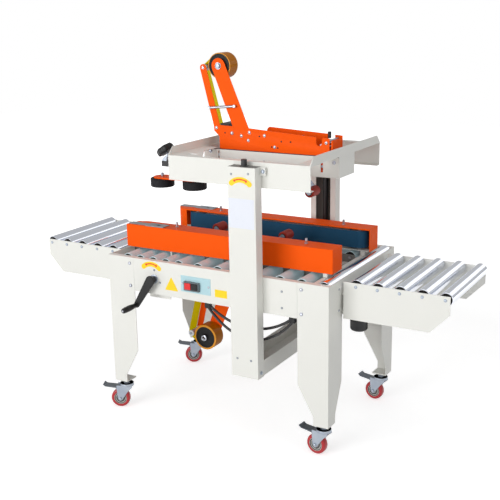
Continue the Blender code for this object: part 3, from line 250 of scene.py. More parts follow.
# The short rollers' pale cyan is painted to cancel the orange light that the covers throw on them; the steel
# itself is neutral.
BOUNCE_TINTED_ROLLER = metal("plated_roller", screen(0.80, 0.90, 0.93), 0.46, ALONG_ROLLER, 0.06, Lines=0.02,
                      Plating=0.0)
BRIGHT = metal("bright_steel", screen(0.74, 0.75, 0.78), 0.26, Lines=0.12, Plating=0.2)
ZINC = metal("zinc_plate", screen(0.70, 0.73, 0.77), 0.36, (60, 60, 300), 0.75, Lines=0.12, Plating=0.4)
BRAKE_STEEL = metal("brake_steel", screen(0.44, 0.46, 0.48), 0.34, (60, 60, 300), 0.75, Lines=0.2, Plating=0.5)
ALUMINIUM = metal("mill_aluminium", screen(0.62, 0.64, 0.66), 0.40, (30, 500, 500), 0.6, Lines=0.2, Plating=0.2)
BLACK_STEEL = paint("black_coat", screen(0.12, 0.12, 0.13), 0.42, Cloud=0.2, Peel=0.3, Dust=0.15)
BLACK_PLASTIC = plastic("black_plastic", screen(0.085, 0.085, 0.09), 0.42, gloss=0.35, Grain=900.0, Depth=0.3,
                        Scuff=0.06)
# Near-black plastic of the roller caps and tape cores, also used as the painted shade of the head plates' small
# holes.
SHADOW_PLASTIC = plastic("roller_cap", screen(0.055, 0.05, 0.05), 0.5, gloss=0.3, Grain=700.0, Depth=0.2,
                         Scuff=0.05)
BELT_RUBBER = plastic("belt_rubber", screen(0.10, 0.29, 0.41), 0.66, gloss=0.2, Grain=1300.0, Depth=0.6,
                      Scuff=0.22, Scuff_Colour=screen(0.12, 0.29, 0.39))
PRESS_RUBBER = plastic("press_rubber", screen(0.60, 0.16, 0.10), 0.5, gloss=0.25, Grain=900.0, Depth=0.4,
                       Scuff=0.2, Scuff_Colour=screen(0.62, 0.24, 0.16))
DISC_RUBBER = plastic("disc_rubber", screen(0.075, 0.075, 0.09), 0.6, gloss=0.2, Grain=800.0, Depth=0.5,
                      Scuff=0.06)
TYRE = plastic("tyre_urethane", screen(0.70, 0.05, 0.10), 0.32, Grain=400.0, Depth=0.12, Scuff=0.2,
               Scuff_Colour=screen(0.5, 0.22, 0.22), coat=0.3)
HUB = plastic("hub_nylon", screen(0.80, 0.79, 0.76), 0.4, Grain=500.0, Depth=0.2, Scuff=0.25,
              Scuff_Colour=screen(0.62, 0.62, 0.62))
# Dark grey painted into the hub's recessed groove: painted shade.
HUB_GROOVE_SHADE = plastic("hub_groove_shade", screen(0.34, 0.34, 0.34), 0.5, Grain=500.0, Depth=0.2, Scuff=0.2)
TAPE_WOUND = plastic("tape_wound", screen(0.72, 0.43, 0.01), 0.5, Grain=300.0, Depth=0.06, Scuff=0.06,
                     Scuff_Colour=screen(0.76, 0.48, 0.10), gloss=0.03, coat=0.2)
TAPE_EDGE = plastic("tape_edge", screen(0.88, 0.58, 0.10), 0.4, Grain=900.0, Depth=0.3, Scuff=0.4,
                    Scuff_Colour=screen(0.72, 0.42, 0.08))
TAPE_FILM = plastic("tape_film", screen(1.0, 0.70, 0.0), 0.5, Grain=250.0, Depth=0.02, Scuff=0.05,
                    Scuff_Colour=screen(0.92, 0.60, 0.0), gloss=0.1)
film_shader = TAPE_FILM.node_tree.nodes["Principled BSDF"]
film_shader.inputs["Subsurface Weight"].default_value = 0.8
film_shader.inputs["Subsurface Radius"].default_value = (1.0, 0.6, 0.2)
film_shader.inputs["Subsurface Scale"].default_value = 0.02
NYLON = plastic("guide_nylon", screen(0.90, 0.90, 0.91), 0.35, Grain=500.0, Depth=0.1, Scuff=0.2,
                Scuff_Colour=screen(0.75, 0.76, 0.78))
SWITCH_BLUE = plastic("switch_plate_blue", screen(0.70, 0.84, 0.87), 0.4, Grain=700.0, Depth=0.2, Scuff=0.1,
                      Scuff_Colour=screen(0.6, 0.72, 0.76))
SWITCH_GREY = plastic("switch_housing", screen(0.36, 0.40, 0.42), 0.45, Grain=800.0, Depth=0.25, Scuff=0.1)
STOP_RED = plastic("stop_red", screen(0.88, 0.10, 0.10), 0.32, Grain=600.0, Depth=0.1, Scuff=0.1,
                   Scuff_Colour=screen(0.7, 0.2, 0.2))
LABEL_YELLOW = plastic("label_yellow", screen(1.0, 0.84, 0.02), 0.35, Grain=300.0, Depth=0.05, Scuff=0.12,
                       Scuff_Colour=screen(0.98, 0.76, 0.02))
ARROW_RED = plastic("arrow_red", screen(0.93, 0.20, 0.06), 0.35, Grain=300.0, Depth=0.05, Scuff=0.1,
                    Scuff_Colour=screen(0.88, 0.22, 0.08))
LABEL_PALE = plastic("label_pale", screen(0.89, 0.905, 0.94), 0.4, Grain=300.0, Depth=0.05, Scuff=0.2,
                     Scuff_Colour=screen(0.83, 0.85, 0.91))
CABLE_JACKET = plastic("cable_jacket", screen(0.10, 0.10, 0.11), 0.42, Grain=700.0, Depth=0.2, Scuff=0.15)
MOTOR_GREY = paint("motor_grey", screen(0.30, 0.31, 0.33), 0.45, Cloud=0.15, Peel=0.4, Dust=0.15)


# ---- pieces --------------------------------------------------------------------------------
def piece_from(name, mesh, materials, body, replaced=()):
    """Link a finished mesh as a piece of a CAD body."""
    finishes = materials if isinstance(materials, (list, tuple)) else [materials]
    numbers = [min(face.material_index, len(finishes) - 1) for face in mesh.polygons]
    mesh.materials.clear()
    for finish in finishes:
        mesh.materials.append(finish)
    mesh.polygons.foreach_set("material_index", numbers)
    thing = bpy.data.objects.new(name, mesh)
    mesh.name = name
    bpy.context.scene.collection.objects.link(thing)
    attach(thing, body)
    if replaced:
        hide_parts(*replaced)
    return thing


def mesh_from(bm, sharp=SHARP):
    bmesh.ops.remove_doubles(bm, verts=bm.verts, dist=1e-6)
    bmesh.ops.recalc_face_normals(bm, faces=bm.faces)
    mesh = bpy.data.meshes.new("work")
    bm.to_mesh(mesh)
    bm.free()
    mesh.shade_smooth()
    mesh.set_sharp_from_angle(angle=sharp)
    return mesh


def applied(mesh, change):
    """The mesh after the modifiers that change(holder) adds."""
    holder = bpy.data.objects.new("work", mesh)
    bpy.context.scene.collection.objects.link(holder)
    change(holder)
    graph = bpy.context.evaluated_depsgraph_get()
    result = bpy.data.meshes.new_from_object(holder.evaluated_get(graph))
    bpy.data.objects.remove(holder, do_unlink=True)
    return result


def bevelled(mesh, width=PAINT_EDGE, segments=2, angle=50):
    def change(holder):
        bevel = holder.modifiers.new("edge", "BEVEL")
        bevel.width = width
        bevel.segments = segments
        bevel.limit_method = "ANGLE"
        bevel.angle_limit = math.radians(angle)
        bevel.use_clamp_overlap = True
        bevel.miter_outer = "MITER_ARC"
        normals = holder.modifiers.new("normals", "WEIGHTED_NORMAL")
        normals.weight = 100
        normals.keep_sharp = True
    mesh.shade_smooth()
    return applied(mesh, change)


def joined(meshes):
    """Several meshes as one, keeping each one's material indices and shading."""
    holders = []
    for mesh in meshes:
        holder = bpy.data.objects.new("work", mesh)
        bpy.context.scene.collection.objects.link(holder)
        holders.append(holder)
    with bpy.context.temp_override(active_object=holders[0], selected_editable_objects=holders):
        bpy.ops.object.join()
    mesh = holders[0].data
    bpy.data.objects.remove(holders[0])
    return mesh


PLACES = [bpy.data.materials.new(f"place_{k}") for k in range(4)]


def numbered(mesh, index, count):
    """Put every face on one material index, with room for the others."""
    mesh.materials.clear()
    for k in range(count):
        mesh.materials.append(PLACES[k])
    for face in mesh.polygons:
        face.material_index = index
    return mesh


def facing(direction):
    """The rotation that turns +Z to a direction."""
    return Vector(direction).to_track_quat("Z", "Y").to_matrix().to_4x4()


def lathe(profile, place=(0, 0, 0), direction=(0, 0, 1), sides=40, closed=False, sharp=SHARP):
    """Turn (radius, height) points about an axis; a closed profile is a ring."""
    bm = bmesh.new()
    rings = []
    for radius, height in profile:
        angles = [2 * math.pi * k / sides for k in range(sides)] if radius > 1e-7 else [0.0]
        rings.append([bm.verts.new((radius * math.cos(a), radius * math.sin(a), height)) for a in angles])
    pairs = list(zip(rings, rings[1:]))
    if closed:
        pairs.append((rings[-1], rings[0]))
    for here, there in pairs:
        for k in range(sides):
            j = (k + 1) % sides
            corners = [here[k % len(here)], here[j % len(here)], there[j % len(there)], there[k % len(there)]]
            corners = list(dict.fromkeys(corners))
            if len(corners) > 2:
                bm.faces.new(corners)
    if not closed:
        for ring in (rings[0], rings[-1]):
            if len(ring) > 2:
                bm.faces.new(ring)
    bm.transform(Matrix.Translation(Vector(place)) @ facing(direction))
    return mesh_from(bm, sharp)


def slab(outline, axis, low, high):
    """An outline in the plane across the axis, drawn out from low to high, places as in at()."""
    def corner(a, b, along):
        return at(*{"X": (along, a, b), "Y": (a, along, b), "Z": (a, b, along)}[axis])

    bm = bmesh.new()
    bottom = [bm.verts.new(corner(a, b, low)) for a, b in outline]
    top = [bm.verts.new(corner(a, b, high)) for a, b in outline]
    bm.faces.new(bottom)
    bm.faces.new(top)
    for k in range(len(outline)):
        j = (k + 1) % len(outline)
        bm.faces.new((bottom[k], bottom[j], top[j], top[k]))
    return mesh_from(bm)


def rectangle(x, y):
    return [(x[0], y[0]), (x[1], y[0]), (x[1], y[1]), (x[0], y[1])]


def block(x, y, z):
    return slab(rectangle(x, y), "Z", z[0], z[1])


def rod(radius, low, high):
    """A plain round bar's profile for lathe."""
    return [(0, low), (radius, low), (radius, high), (0, high)]


def bridge(bm, rings):
    """Faces from each ring of corners to the next."""
    for here, there in zip(rings, rings[1:]):
        for k in range(len(here)):
            j = (k + 1) % len(here)
            bm.faces.new((here[k], here[j], there[j], there[k]))


def both(value):
    """The same distance on either side of the middle plane, low first."""
    return (-value, value)


def on_side(side, near, far):
    """Two distances from the middle plane, on one side of it, low first."""
    return tuple(sorted((side * near, side * far)))


def outward(side):
    """The way that faces the operator on the near side, and away on the far side."""
    return FRONT if side < 0 else BACK


def arc(centre, radius, start, end, steps):
    """Points on an arc, in degrees."""
    angles = [math.radians(start + (end - start) * k / steps) for k in range(steps + 1)]
    return [(centre[0] + radius * math.cos(angle), centre[1] + radius * math.sin(angle)) for angle in angles]


def capsule(a, b, radius_a, radius_b, steps=12):
    angle = math.degrees(math.atan2(b[1] - a[1], b[0] - a[0]))
    return arc(b, radius_b, angle - 90, angle + 90, steps) + arc(a, radius_a, angle + 90, angle + 270, steps)


def cad_copy(name):
    """A CAD node's mesh with its loose triangles merged and its flat faces whole."""
    bm = bmesh.new()
    bm.from_mesh(frame["nodes"][name].data)
    bmesh.ops.remove_doubles(bm, verts=bm.verts, dist=2e-5)
    bmesh.ops.dissolve_limit(bm, angle_limit=math.radians(1), verts=bm.verts, edges=bm.edges)
    mesh = bpy.data.meshes.new("work")
    bm.to_mesh(mesh)
    bm.free()
    return mesh


def cut_with(mesh, tools):
    """Take the tools' shapes out of a mesh."""
    for tool in tools:
        other = bpy.data.objects.new("tool", tool)
        bpy.context.scene.collection.objects.link(other)

        def change(holder):
            opening = holder.modifiers.new("opening", "BOOLEAN")
            opening.operation = "DIFFERENCE"
            opening.object = other
            opening.solver = "EXACT"
        mesh = applied(mesh, change)
        bpy.data.objects.remove(other, do_unlink=True)
    return mesh


def dressed(name, materials, tools=(), pick=None, width=PAINT_EDGE, angle=50):
    """A CAD node's shape with openings and rounded edges; pick(place) gives the material of a face."""
    mesh = cut_with(cad_copy(name), tools)
    finishes = materials if isinstance(materials, (list, tuple)) else [materials]
    numbered(mesh, 0, len(finishes))
    if pick:
        for face in mesh.polygons:
            face.material_index = pick(face.center - Vector((0, MIDDLE, 0)))
    if width:
        mesh = bevelled(mesh, width, 2, angle)
    else:
        mesh.shade_smooth()
        mesh.set_sharp_from_angle(angle=SHARP)
    return piece_from(f"{name}_skin", mesh, finishes, BODY_OF[name], [name])


# ---- repeated pieces -----------------------------------------------------------------------
def run_tree(mesh, tree, values):
    """The mesh after a geometry tree with its named inputs set."""
    def change(holder):
        work = holder.modifiers.new("row", "NODES")
        work.node_group = tree
        for item in tree.interface.items_tree:
            if item.item_type == "SOCKET" and item.in_out == "INPUT" and item.name in values:
                work[item.identifier] = values[item.name]
    result = applied(mesh, change)
    result.shade_smooth()
    result.set_sharp_from_angle(angle=SHARP)
    return result


def close_tree(tree, given, made, geometry):
    """End a tree with real geometry in its finish."""
    real = node(tree, "GeometryNodeRealizeInstances", {"Geometry": geometry})
    finish = node(tree, "GeometryNodeSetMaterial", {"Geometry": real.outputs[0],
                                                    "Material": given.outputs["Finish"]})
    tree.links.new(finish.outputs[0], made.inputs[0])
    return tree


def make_row_tree():
    """Copies of one part in a straight row."""
    tree, given, made = new_group("part_row", [
        ("Part", "NodeSocketGeometry", None), ("Count", "NodeSocketInt", 4),
        ("Step", "NodeSocketVector", (0.1, 0, 0)), ("Finish", "NodeSocketMaterial", None)],
        [("Parts", "NodeSocketGeometry")], "GeometryNodeTree")
    line = node(tree, "GeometryNodeMeshLine", {"Count": given.outputs["Count"],
                                               "Offset": given.outputs["Step"]})
    copies = node(tree, "GeometryNodeInstanceOnPoints", {"Points": line.outputs[0],
                                                         "Instance": given.outputs["Part"]})
    return close_tree(tree, given, made, copies.outputs[0])


def make_fastener_tree():
    """A domed screw head on its washer at every point, turned to the point's facing."""
    tree, given, made = new_group("fasteners", [
        ("Places", "NodeSocketGeometry", None), ("Head Radius", "NodeSocketFloat", 0.006),
        ("Head Height", "NodeSocketFloat", 0.004), ("Head Sides", "NodeSocketInt", 24),
        ("Dome", "NodeSocketFloat", 0.002),
        ("Washer Radius", "NodeSocketFloat", 0.008), ("Washer Height", "NodeSocketFloat", 0.001),
        ("Finish", "NodeSocketMaterial", None)], [("Fasteners", "NodeSocketGeometry")], "GeometryNodeTree")

    def lifted(geometry, height):
        offset = node(tree, "ShaderNodeCombineXYZ", {"Z": height}).outputs[0]
        return node(tree, "GeometryNodeTransform", {"Geometry": geometry, "Translation": offset}).outputs[0]

    washer = node(tree, "GeometryNodeMeshCylinder", {"Vertices": 24, "Radius": given.outputs["Washer Radius"],
                                                     "Depth": given.outputs["Washer Height"]}).outputs[0]
    head = node(tree, "GeometryNodeMeshCylinder", {"Vertices": given.outputs["Head Sides"],
                                                   "Radius": given.outputs["Head Radius"],
                                                   "Depth": given.outputs["Head Height"]}).outputs[0]
    seat = given.outputs["Washer Height"]
    seat_middle = maths(tree, "MULTIPLY", seat, 0.5)
    head_middle = maths(tree, "ADD", seat, maths(tree, "MULTIPLY", given.outputs["Head Height"], 0.5))
    head_top = maths(tree, "ADD", seat, given.outputs["Head Height"])
    ball = node(tree, "GeometryNodeMeshUVSphere", {"Segments": 24, "Rings": 10, "Radius": 1.0}).outputs[0]
    cap_radius = maths(tree, "MULTIPLY", given.outputs["Head Radius"], 0.97)
    flat = node(tree, "ShaderNodeCombineXYZ", {"X": cap_radius, "Y": cap_radius,
                                               "Z": given.outputs["Dome"]}).outputs[0]
    dome = node(tree, "GeometryNodeTransform", {"Geometry": ball, "Scale": flat}).outputs[0]
    parts = node(tree, "GeometryNodeJoinGeometry")
    for part in (lifted(washer, seat_middle), lifted(head, head_middle), lifted(dome, head_top)):
        tree.links.new(part, parts.inputs[0])
    aim = node(tree, "GeometryNodeInputNamedAttribute", {"Name": "facing"}, data_type="FLOAT_VECTOR").outputs[0]
    turn = node(tree, "FunctionNodeAlignRotationToVector", {"Vector": aim}, axis="Z").outputs[0]
    copies = node(tree, "GeometryNodeInstanceOnPoints", {"Points": given.outputs["Places"],
                                                         "Instance": parts.outputs[0], "Rotation": turn})
    return close_tree(tree, given, made, copies.outputs[0])


def make_tube_tree():
    """A round tube along a drawn path."""
    tree, given, made = new_group("tube_on_path", [
        ("Path", "NodeSocketGeometry", None), ("Radius", "NodeSocketFloat", 0.005),
        ("Sides", "NodeSocketInt", 16), ("Finish", "NodeSocketMaterial", None)],
        [("Tube", "NodeSocketGeometry")], "GeometryNodeTree")
    path = node(tree, "GeometryNodeMeshToCurve", {"Mesh": given.outputs["Path"]}).outputs[0]
    ring = node(tree, "GeometryNodeCurvePrimitiveCircle", {"Resolution": given.outputs["Sides"],
                                                           "Radius": given.outputs["Radius"]}).outputs[0]
    pipe = node(tree, "GeometryNodeCurveToMesh", {"Curve": path, "Profile Curve": ring, "Fill Caps": True})
    return close_tree(tree, given, made, pipe.outputs[0])


ROW = make_row_tree()
FASTENERS = make_fastener_tree()
TUBE = make_tube_tree()


def row(mesh, count, step, finish):
    return run_tree(mesh, ROW, {"Count": count, "Step": step, "Finish": finish})


def tube(points, radius, finish, sides=16):
    """A round tube with closed ends along points."""
    mesh = bpy.data.meshes.new("path")
    mesh.from_pydata([tuple(p) for p in points], [(k, k + 1) for k in range(len(points) - 1)], [])
    return run_tree(mesh, TUBE, {"Radius": radius, "Sides": sides, "Finish": finish})


HEADS = {   # radius, height, sides, dome, washer radius, washer height
    "dome": (0.0062, 0.0022, 24, 0.0030, 0.0070, 0.0006),
    "pan": (0.0048, 0.0016, 24, 0.0014, 0.0062, 0.0008),
    "small": (0.0036, 0.0014, 24, 0.0010, 0.0046, 0.0006),
    "hex": (0.0098, 0.0062, 6, 0.0012, 0.0135, 0.0016),
    "small_hex": (0.0058, 0.0040, 6, 0.0008, 0.0075, 0.0010),
}


def fasteners(name, kind, places, body, finish=BRIGHT):
    """Heads of one kind at (place, facing) pairs, as one piece of a body."""
    mesh = bpy.data.meshes.new("places")
    mesh.from_pydata([tuple(place) for place, _ in places], [], [])
    mesh.attributes.new("facing", "FLOAT_VECTOR", "POINT").data.foreach_set(
        "vector", [c for _, aim in places for c in aim])
    labels = ("Head Radius", "Head Height", "Head Sides", "Dome", "Washer Radius", "Washer Height")
    values = dict(zip(labels, HEADS[kind]), Finish=finish)
    return piece_from(name, run_tree(mesh, FASTENERS, values), finish, body)


# ---- painted frame -------------------------------------------------------------------------
CORNERS = ("front_left", "front_right", "back_left", "back_right")
FOOT_EDGE = 0.4285


def corner_signs(corner):
    """Which end and which side a corner is at, as -1 or 1."""
    return -1 if corner.endswith("left") else 1, -1 if corner.startswith("front") else 1


for corner in CORNERS:
    end, side = corner_signs(corner)
    spare_plate = block(on_side(end, 0.30, FOOT_EDGE), on_side(side, 0.15, 0.3085), (0.1240, 0.1302))
    dressed(f"leg_{corner}", CREAM, [spare_plate])
for plain in ("back_panel", "infeed_end_plate", "outfeed_end_plate", "infeed_table", "outfeed_table"):
    dressed(plain, CREAM)
dressed("lower_channel", CREAM)

panel_face = box_of("leg_front_left")[0].y
HALF_WIDTH = abs(panel_face)
PLATE_PROUD = 0.0015


def panel_finish(place):
    """The switch housing, its blue plate and the painted panel, by how far each stands out."""
    proud = (panel_face - place.y) / PLATE_PROUD
    return 2 if proud > 1.2 else 1 if proud > 0.3 else 0


dressed("front_panel", [CREAM, SWITCH_BLUE, SWITCH_GREY], width=0.0006, pick=panel_finish)

column_low, column_high = box_of("front_column")
column_face = column_low.y
CAP_RISE = 0.026
lid = column_high.z - CAP_RISE
OUTER_SKIN = 0.002


def column_finish(place):
    """Paint outside, a black screw stub on top, and flat grey inside the fold as painted shade."""
    if place.z > lid + 0.0005:
        return 1
    inside_x = column_low.x + OUTER_SKIN < place.x < column_high.x - OUTER_SKIN
    depth = abs(place.y)
    return 2 if inside_x and HALF_WIDTH + OUTER_SKIN < depth < abs(column_face) - OUTER_SKIN else 0


for column in ("front_column", "rear_column"):
    dressed(column, [CREAM, BLACK_STEEL, PAINTED_SHADE_GREY], pick=column_finish)

head_low, head_high = box_of("head_frame")
HEAD_WEB = 0.062
BEAM_TOP = head_high.z - 0.030


def oval(x, y, half_length, radius):
    """A slotted hole's outline along Y."""
    return arc((x, y + half_length), radius, 0, 180, 8) + arc((x, y - half_length), radius, 180, 360, 8)


CRADLE_HALF = 0.068
BLIND = 0.0020
stub_x = (column_low.x + column_high.x) / 2
stub_y = (HALF_WIDTH + abs(column_face)) / 2
SCREW_R = 0.011


def long_hole(side, bottom=0.010):
    """Cutter for the long hole in the web's infeed corners."""
    outline = [(-y, x) for x, y in oval(side * 0.245, 0.106, 0.016, 0.0085)]
    return slab(outline, "Z", BEAM_TOP - bottom, BEAM_TOP + 0.004)


openings = [slab(oval(head_high.x - 0.034, side * 0.190, 0.016, 0.014), "Z", BEAM_TOP - BLIND, BEAM_TOP + 0.004)
            for side in (-1, 1)]
openings += [long_hole(side) for side in (-1, 1)]
openings += [slab(rectangle((x - half, x + half), z), "Y", -CRADLE_HALF - 0.004, -CRADLE_HALF + 0.008)
             for x, half, z in ((-0.104, 0.0035, (1.028, 1.084)), (0.3455, 0.0050, (1.030, 1.068)))]
openings += [lathe(rod(SCREW_R + 0.001, 0.98, 1.12), at(stub_x, side * stub_y, 0), UP, 32) for side in (-1, 1)]
dressed("head_frame", CREAM, openings)

# ---- fasteners of the frame ----------------------------------------------------------------
BOLT_X, BOLT_Z = (-0.3855, 0.3835), (0.6475, 0.5545)
dome_bolts = [(at(x, side * HALF_WIDTH, z), outward(side)) for side in (-1, 1) for x in BOLT_X for z in BOLT_Z]
fasteners("panel_dome_bolts", "dome", dome_bolts, FRAME_BODY)
panel_screws = [(at(0.304, side * HALF_WIDTH, z), outward(side)) for side in (-1, 1) for z in (0.629, 0.566)]
HUB_Z = 0.598
hub = Vector((-0.26725, 0, HUB_Z))
panel_screws += [(at(hub.x + 0.002, panel_face, hub.z + 0.037), FRONT),
                 (at(hub.x + 0.028, panel_face, hub.z - 0.012), FRONT)]
fasteners("panel_screws", "small", panel_screws, FRAME_BODY, ALUMINIUM)

column_screws = [(at(x, column_face, z), FRONT)
                 for x, z in ((0.1275, 1.056), (0.1975, 1.061), (0.1375, 0.356), (0.1965, 0.355))]
fasteners("column_screws", "small", column_screws, FRAME_BODY, ALUMINIUM)

roller_axis = centre_of("outfeed_roller_1").z
table_half = box_of("outfeed_table")[1].y
TABLE_ROLLERS = 5
TABLE_ROLLER_NAMES = [f"{end}_roller_{k + 1}" for end in ("infeed", "outfeed") for k in range(TABLE_ROLLERS)]
axle_screws = [(at(centre_of(name).x, side * table_half, roller_axis - 0.001), outward(side))
               for side in (-1, 1) for name in TABLE_ROLLER_NAMES]
fasteners("table_axle_screws", "pan", axle_screws, FRAME_BODY, ZINC)

flange_bolts = [(at(end * 0.5066, side * 0.192, z), (end, 0, 0))
                for end in (-1, 1) for side in (-1, 1) for z in (0.551, 0.615)]
fasteners("table_flange_bolts", "small_hex", flange_bolts, FRAME_BODY, ZINC)

end_bolts = [(at(end * 0.4925, side * 0.226, z), (end, 0, 0))
             for end in (-1, 1) for side in (-1, 1) for z in (0.640, 0.560)]
fasteners("end_plate_bolts", "small", end_bolts, FRAME_BODY)

TAB_OUT = 0.011


def column_tab(side):
    """A folded tab beside the head of a column."""
    x = column_high.x
    outline = rectangle((x + 0.0003, x + 0.022), (1.052, 1.082))
    return bevelled(slab(outline, "Y", *on_side(side, HALF_WIDTH + 0.008, HALF_WIDTH + TAB_OUT)), 0.0006)


piece_from("column_tabs", joined([column_tab(-1), column_tab(1)]), CREAM, FRAME_BODY)
tab_bolts = [(at(column_high.x + 0.012, side * (HALF_WIDTH + TAB_OUT), 1.067), outward(side))
             for side in (-1, 1)]
fasteners("column_tab_bolts", "small_hex", tab_bolts, FRAME_BODY, ZINC)
side_bolts = [(at(column_high.x, side * (HALF_WIDTH + 0.022), 0.304), RIGHT) for side in (-1, 1)]
fasteners("column_side_bolts", "small_hex", side_bolts, FRAME_BODY, ZINC)
clip_depth = (column_low.x - 0.0022, column_low.x - 0.0003)
edge_clips = [block(clip_depth, on_side(side, 0.320, 0.330), (1.046, 1.066)) for side in (-1, 1)]
piece_from("column_edge_clips", joined(edge_clips), BLACK_STEEL, FRAME_BODY)

# ---- height screws in the columns ----------------------------------------------------------
foot, head_end = column_low.z + 0.004, lid - 0.0035
screw_profile = [(0, foot), (SCREW_R, foot), (SCREW_R, lid - 0.005), (SCREW_R - 0.002, head_end), (0, head_end)]
screws = [lathe(screw_profile, at(stub_x, side * stub_y, 0), UP, 32) for side in (-1, 1)]
piece_from("height_screws", joined(screws), BLACK_STEEL, FRAME_BODY)

# ---- rollers -------------------------------------------------------------------------------
ROLLER_R = 0.025
AXLE_R = 0.006
TUBE_WALL = 0.0022


def roller_tube(half, radius=ROLLER_R):
    """Tube with rolled ends, closed round its wall."""
    edge = 0.0012
    inner = radius - TUBE_WALL
    ring = half - edge - 0.0015
    return [(inner, -half), (radius - edge, -half), (radius, -half + edge), (radius, -ring), (radius, ring),
            (radius, half - edge), (radius - edge, half), (inner, half), (inner, half - 0.006),
            (inner, -half + 0.006)]


def roller_cap(half, sign, radius=ROLLER_R):
    """Bearing cap pressed into a tube's end, dished towards the axle."""
    inner = radius - TUBE_WALL - 0.0001
    face = half - 0.0008
    dish = half - 0.0032
    bore = AXLE_R + 0.0004
    points = [(bore, dish - 0.004), (inner, dish - 0.004), (inner, face), (inner - 0.0025, face),
              (inner - 0.0050, dish), (AXLE_R + 0.0055, dish), (AXLE_R + 0.0045, face - 0.0006),
              (bore, face - 0.0006)]
    return [(r, sign * h) for r, h in points]


def whole_roller(name, node_name):
    """A tube between two caps on its axle, in place of the CAD roller."""
    reach = box_of(node_name)[1].y
    centre = at(*centre_of(node_name))
    half = reach - (0.004 if node_name in TABLE_ROLLER_NAMES else 0.022)
    meshes = [numbered(lathe(roller_tube(half), centre, BACK, 64, closed=True), 0, 3)]
    for sign in (-1, 1):
        meshes.append(numbered(lathe(roller_cap(half, sign), centre, BACK, 40, closed=True), 1, 3))
    axle = lathe([(0, -reach), (AXLE_R - 0.0008, -reach), (AXLE_R, -reach + 0.0008), (AXLE_R, reach - 0.0008),
                  (AXLE_R - 0.0008, reach), (0, reach)], centre, BACK, 24)
    meshes.append(numbered(axle, 2, 3))
    piece_from(name, joined(meshes), [STEEL_ROLLER, SHADOW_PLASTIC, BRIGHT], BODY_OF[node_name],
               [node_name])


for name in TABLE_ROLLER_NAMES:
    whole_roller(name.replace("roller", "roller_tube"), name)
whole_roller("bed_end_roller_tube", "bed_end_roller")

WIDE_PITCH, WIDE_COUNT = 0.0896, 7
CLOSE_PITCH, CLOSE_COUNT = 0.0615, 4
SHORT_INNER = 0.138
SHORT_OUTER = HALF_WIDTH - 0.0253
AXLE_OUTER = HALF_WIDTH - 0.0033
end_roller = centre_of("bed_end_roller")
first_wide = end_roller.x - WIDE_PITCH
first_close = end_roller.x - WIDE_PITCH * WIDE_COUNT - CLOSE_PITCH
short_half = (SHORT_OUTER - SHORT_INNER) / 2
short_rows = {"tubes": [], "caps": [], "axles": []}
for side in (-1, 1):
    middle = side * (SHORT_OUTER + SHORT_INNER) / 2
    for start, count, pitch in ((first_wide, WIDE_COUNT, WIDE_PITCH), (first_close, CLOSE_COUNT, CLOSE_PITCH)):
        centre = at(start, middle, end_roller.z)
        step = (-pitch, 0, 0)
        short_tube = lathe(roller_tube(short_half), centre, BACK, 64, closed=True)
        short_rows["tubes"].append(row(short_tube, count, step, BOUNCE_TINTED_ROLLER))
        for sign in (-1, 1):
            cap = lathe(roller_cap(short_half, sign), centre, BACK, 40, closed=True)
            short_rows["caps"].append(row(cap, count, step, SHADOW_PLASTIC))
        inner, outer = on_side(side, SHORT_INNER - 0.006, AXLE_OUTER)
        axle = lathe(rod(AXLE_R, inner - middle, outer - middle), centre, BACK, 20)
        short_rows["axles"].append(row(axle, count, step, BRIGHT))
piece_from("short_roller_tubes", joined(short_rows["tubes"]), BOUNCE_TINTED_ROLLER, FRAME_BODY,
           ["bed_subframe"])
piece_from("short_roller_caps", joined(short_rows["caps"]), SHADOW_PLASTIC, FRAME_BODY)
piece_from("short_roller_axles", joined(short_rows["axles"]), BRIGHT, FRAME_BODY)

RAIL = (0.134, 0.1375)
RAIL_Z = (0.635, 0.667)
TIE_X = (-0.202, 0.202)
TIE_HALF = 0.012
rail_x = (-0.4889, 0.3955)
rails = []
for side in (-1, 1):
    lip = side * (RAIL[0] + 0.0006)
    profile = [(side * RAIL[1], RAIL_Z[0]), (side * RAIL[1], RAIL_Z[1]), (lip, RAIL_Z[1]), (lip, RAIL_Z[0])]
    rails.append(bevelled(slab(profile, "X", *rail_x), 0.0006))
    for x in TIE_X:
        hanger = block((x - TIE_HALF, x + TIE_HALF), on_side(side, 0.135, 0.137), (0.481, RAIL_Z[0] + 0.004))
        post = block((x - 0.010, x + 0.010), on_side(side, 0.0455, 0.051), (0.484, 0.614))
        rails += [bevelled(part, 0.0006) for part in (hanger, post)]
for x in TIE_X:
    rails.append(bevelled(block((x - TIE_HALF, x + TIE_HALF), both(0.137), (0.4802, 0.4858)), 0.0008))
# The rails are painted grey as painted shade, so the gaps between the short rollers look dark.
piece_from("bed_rails", joined(rails), PAINTED_SHADE_GREY, FRAME_BODY)

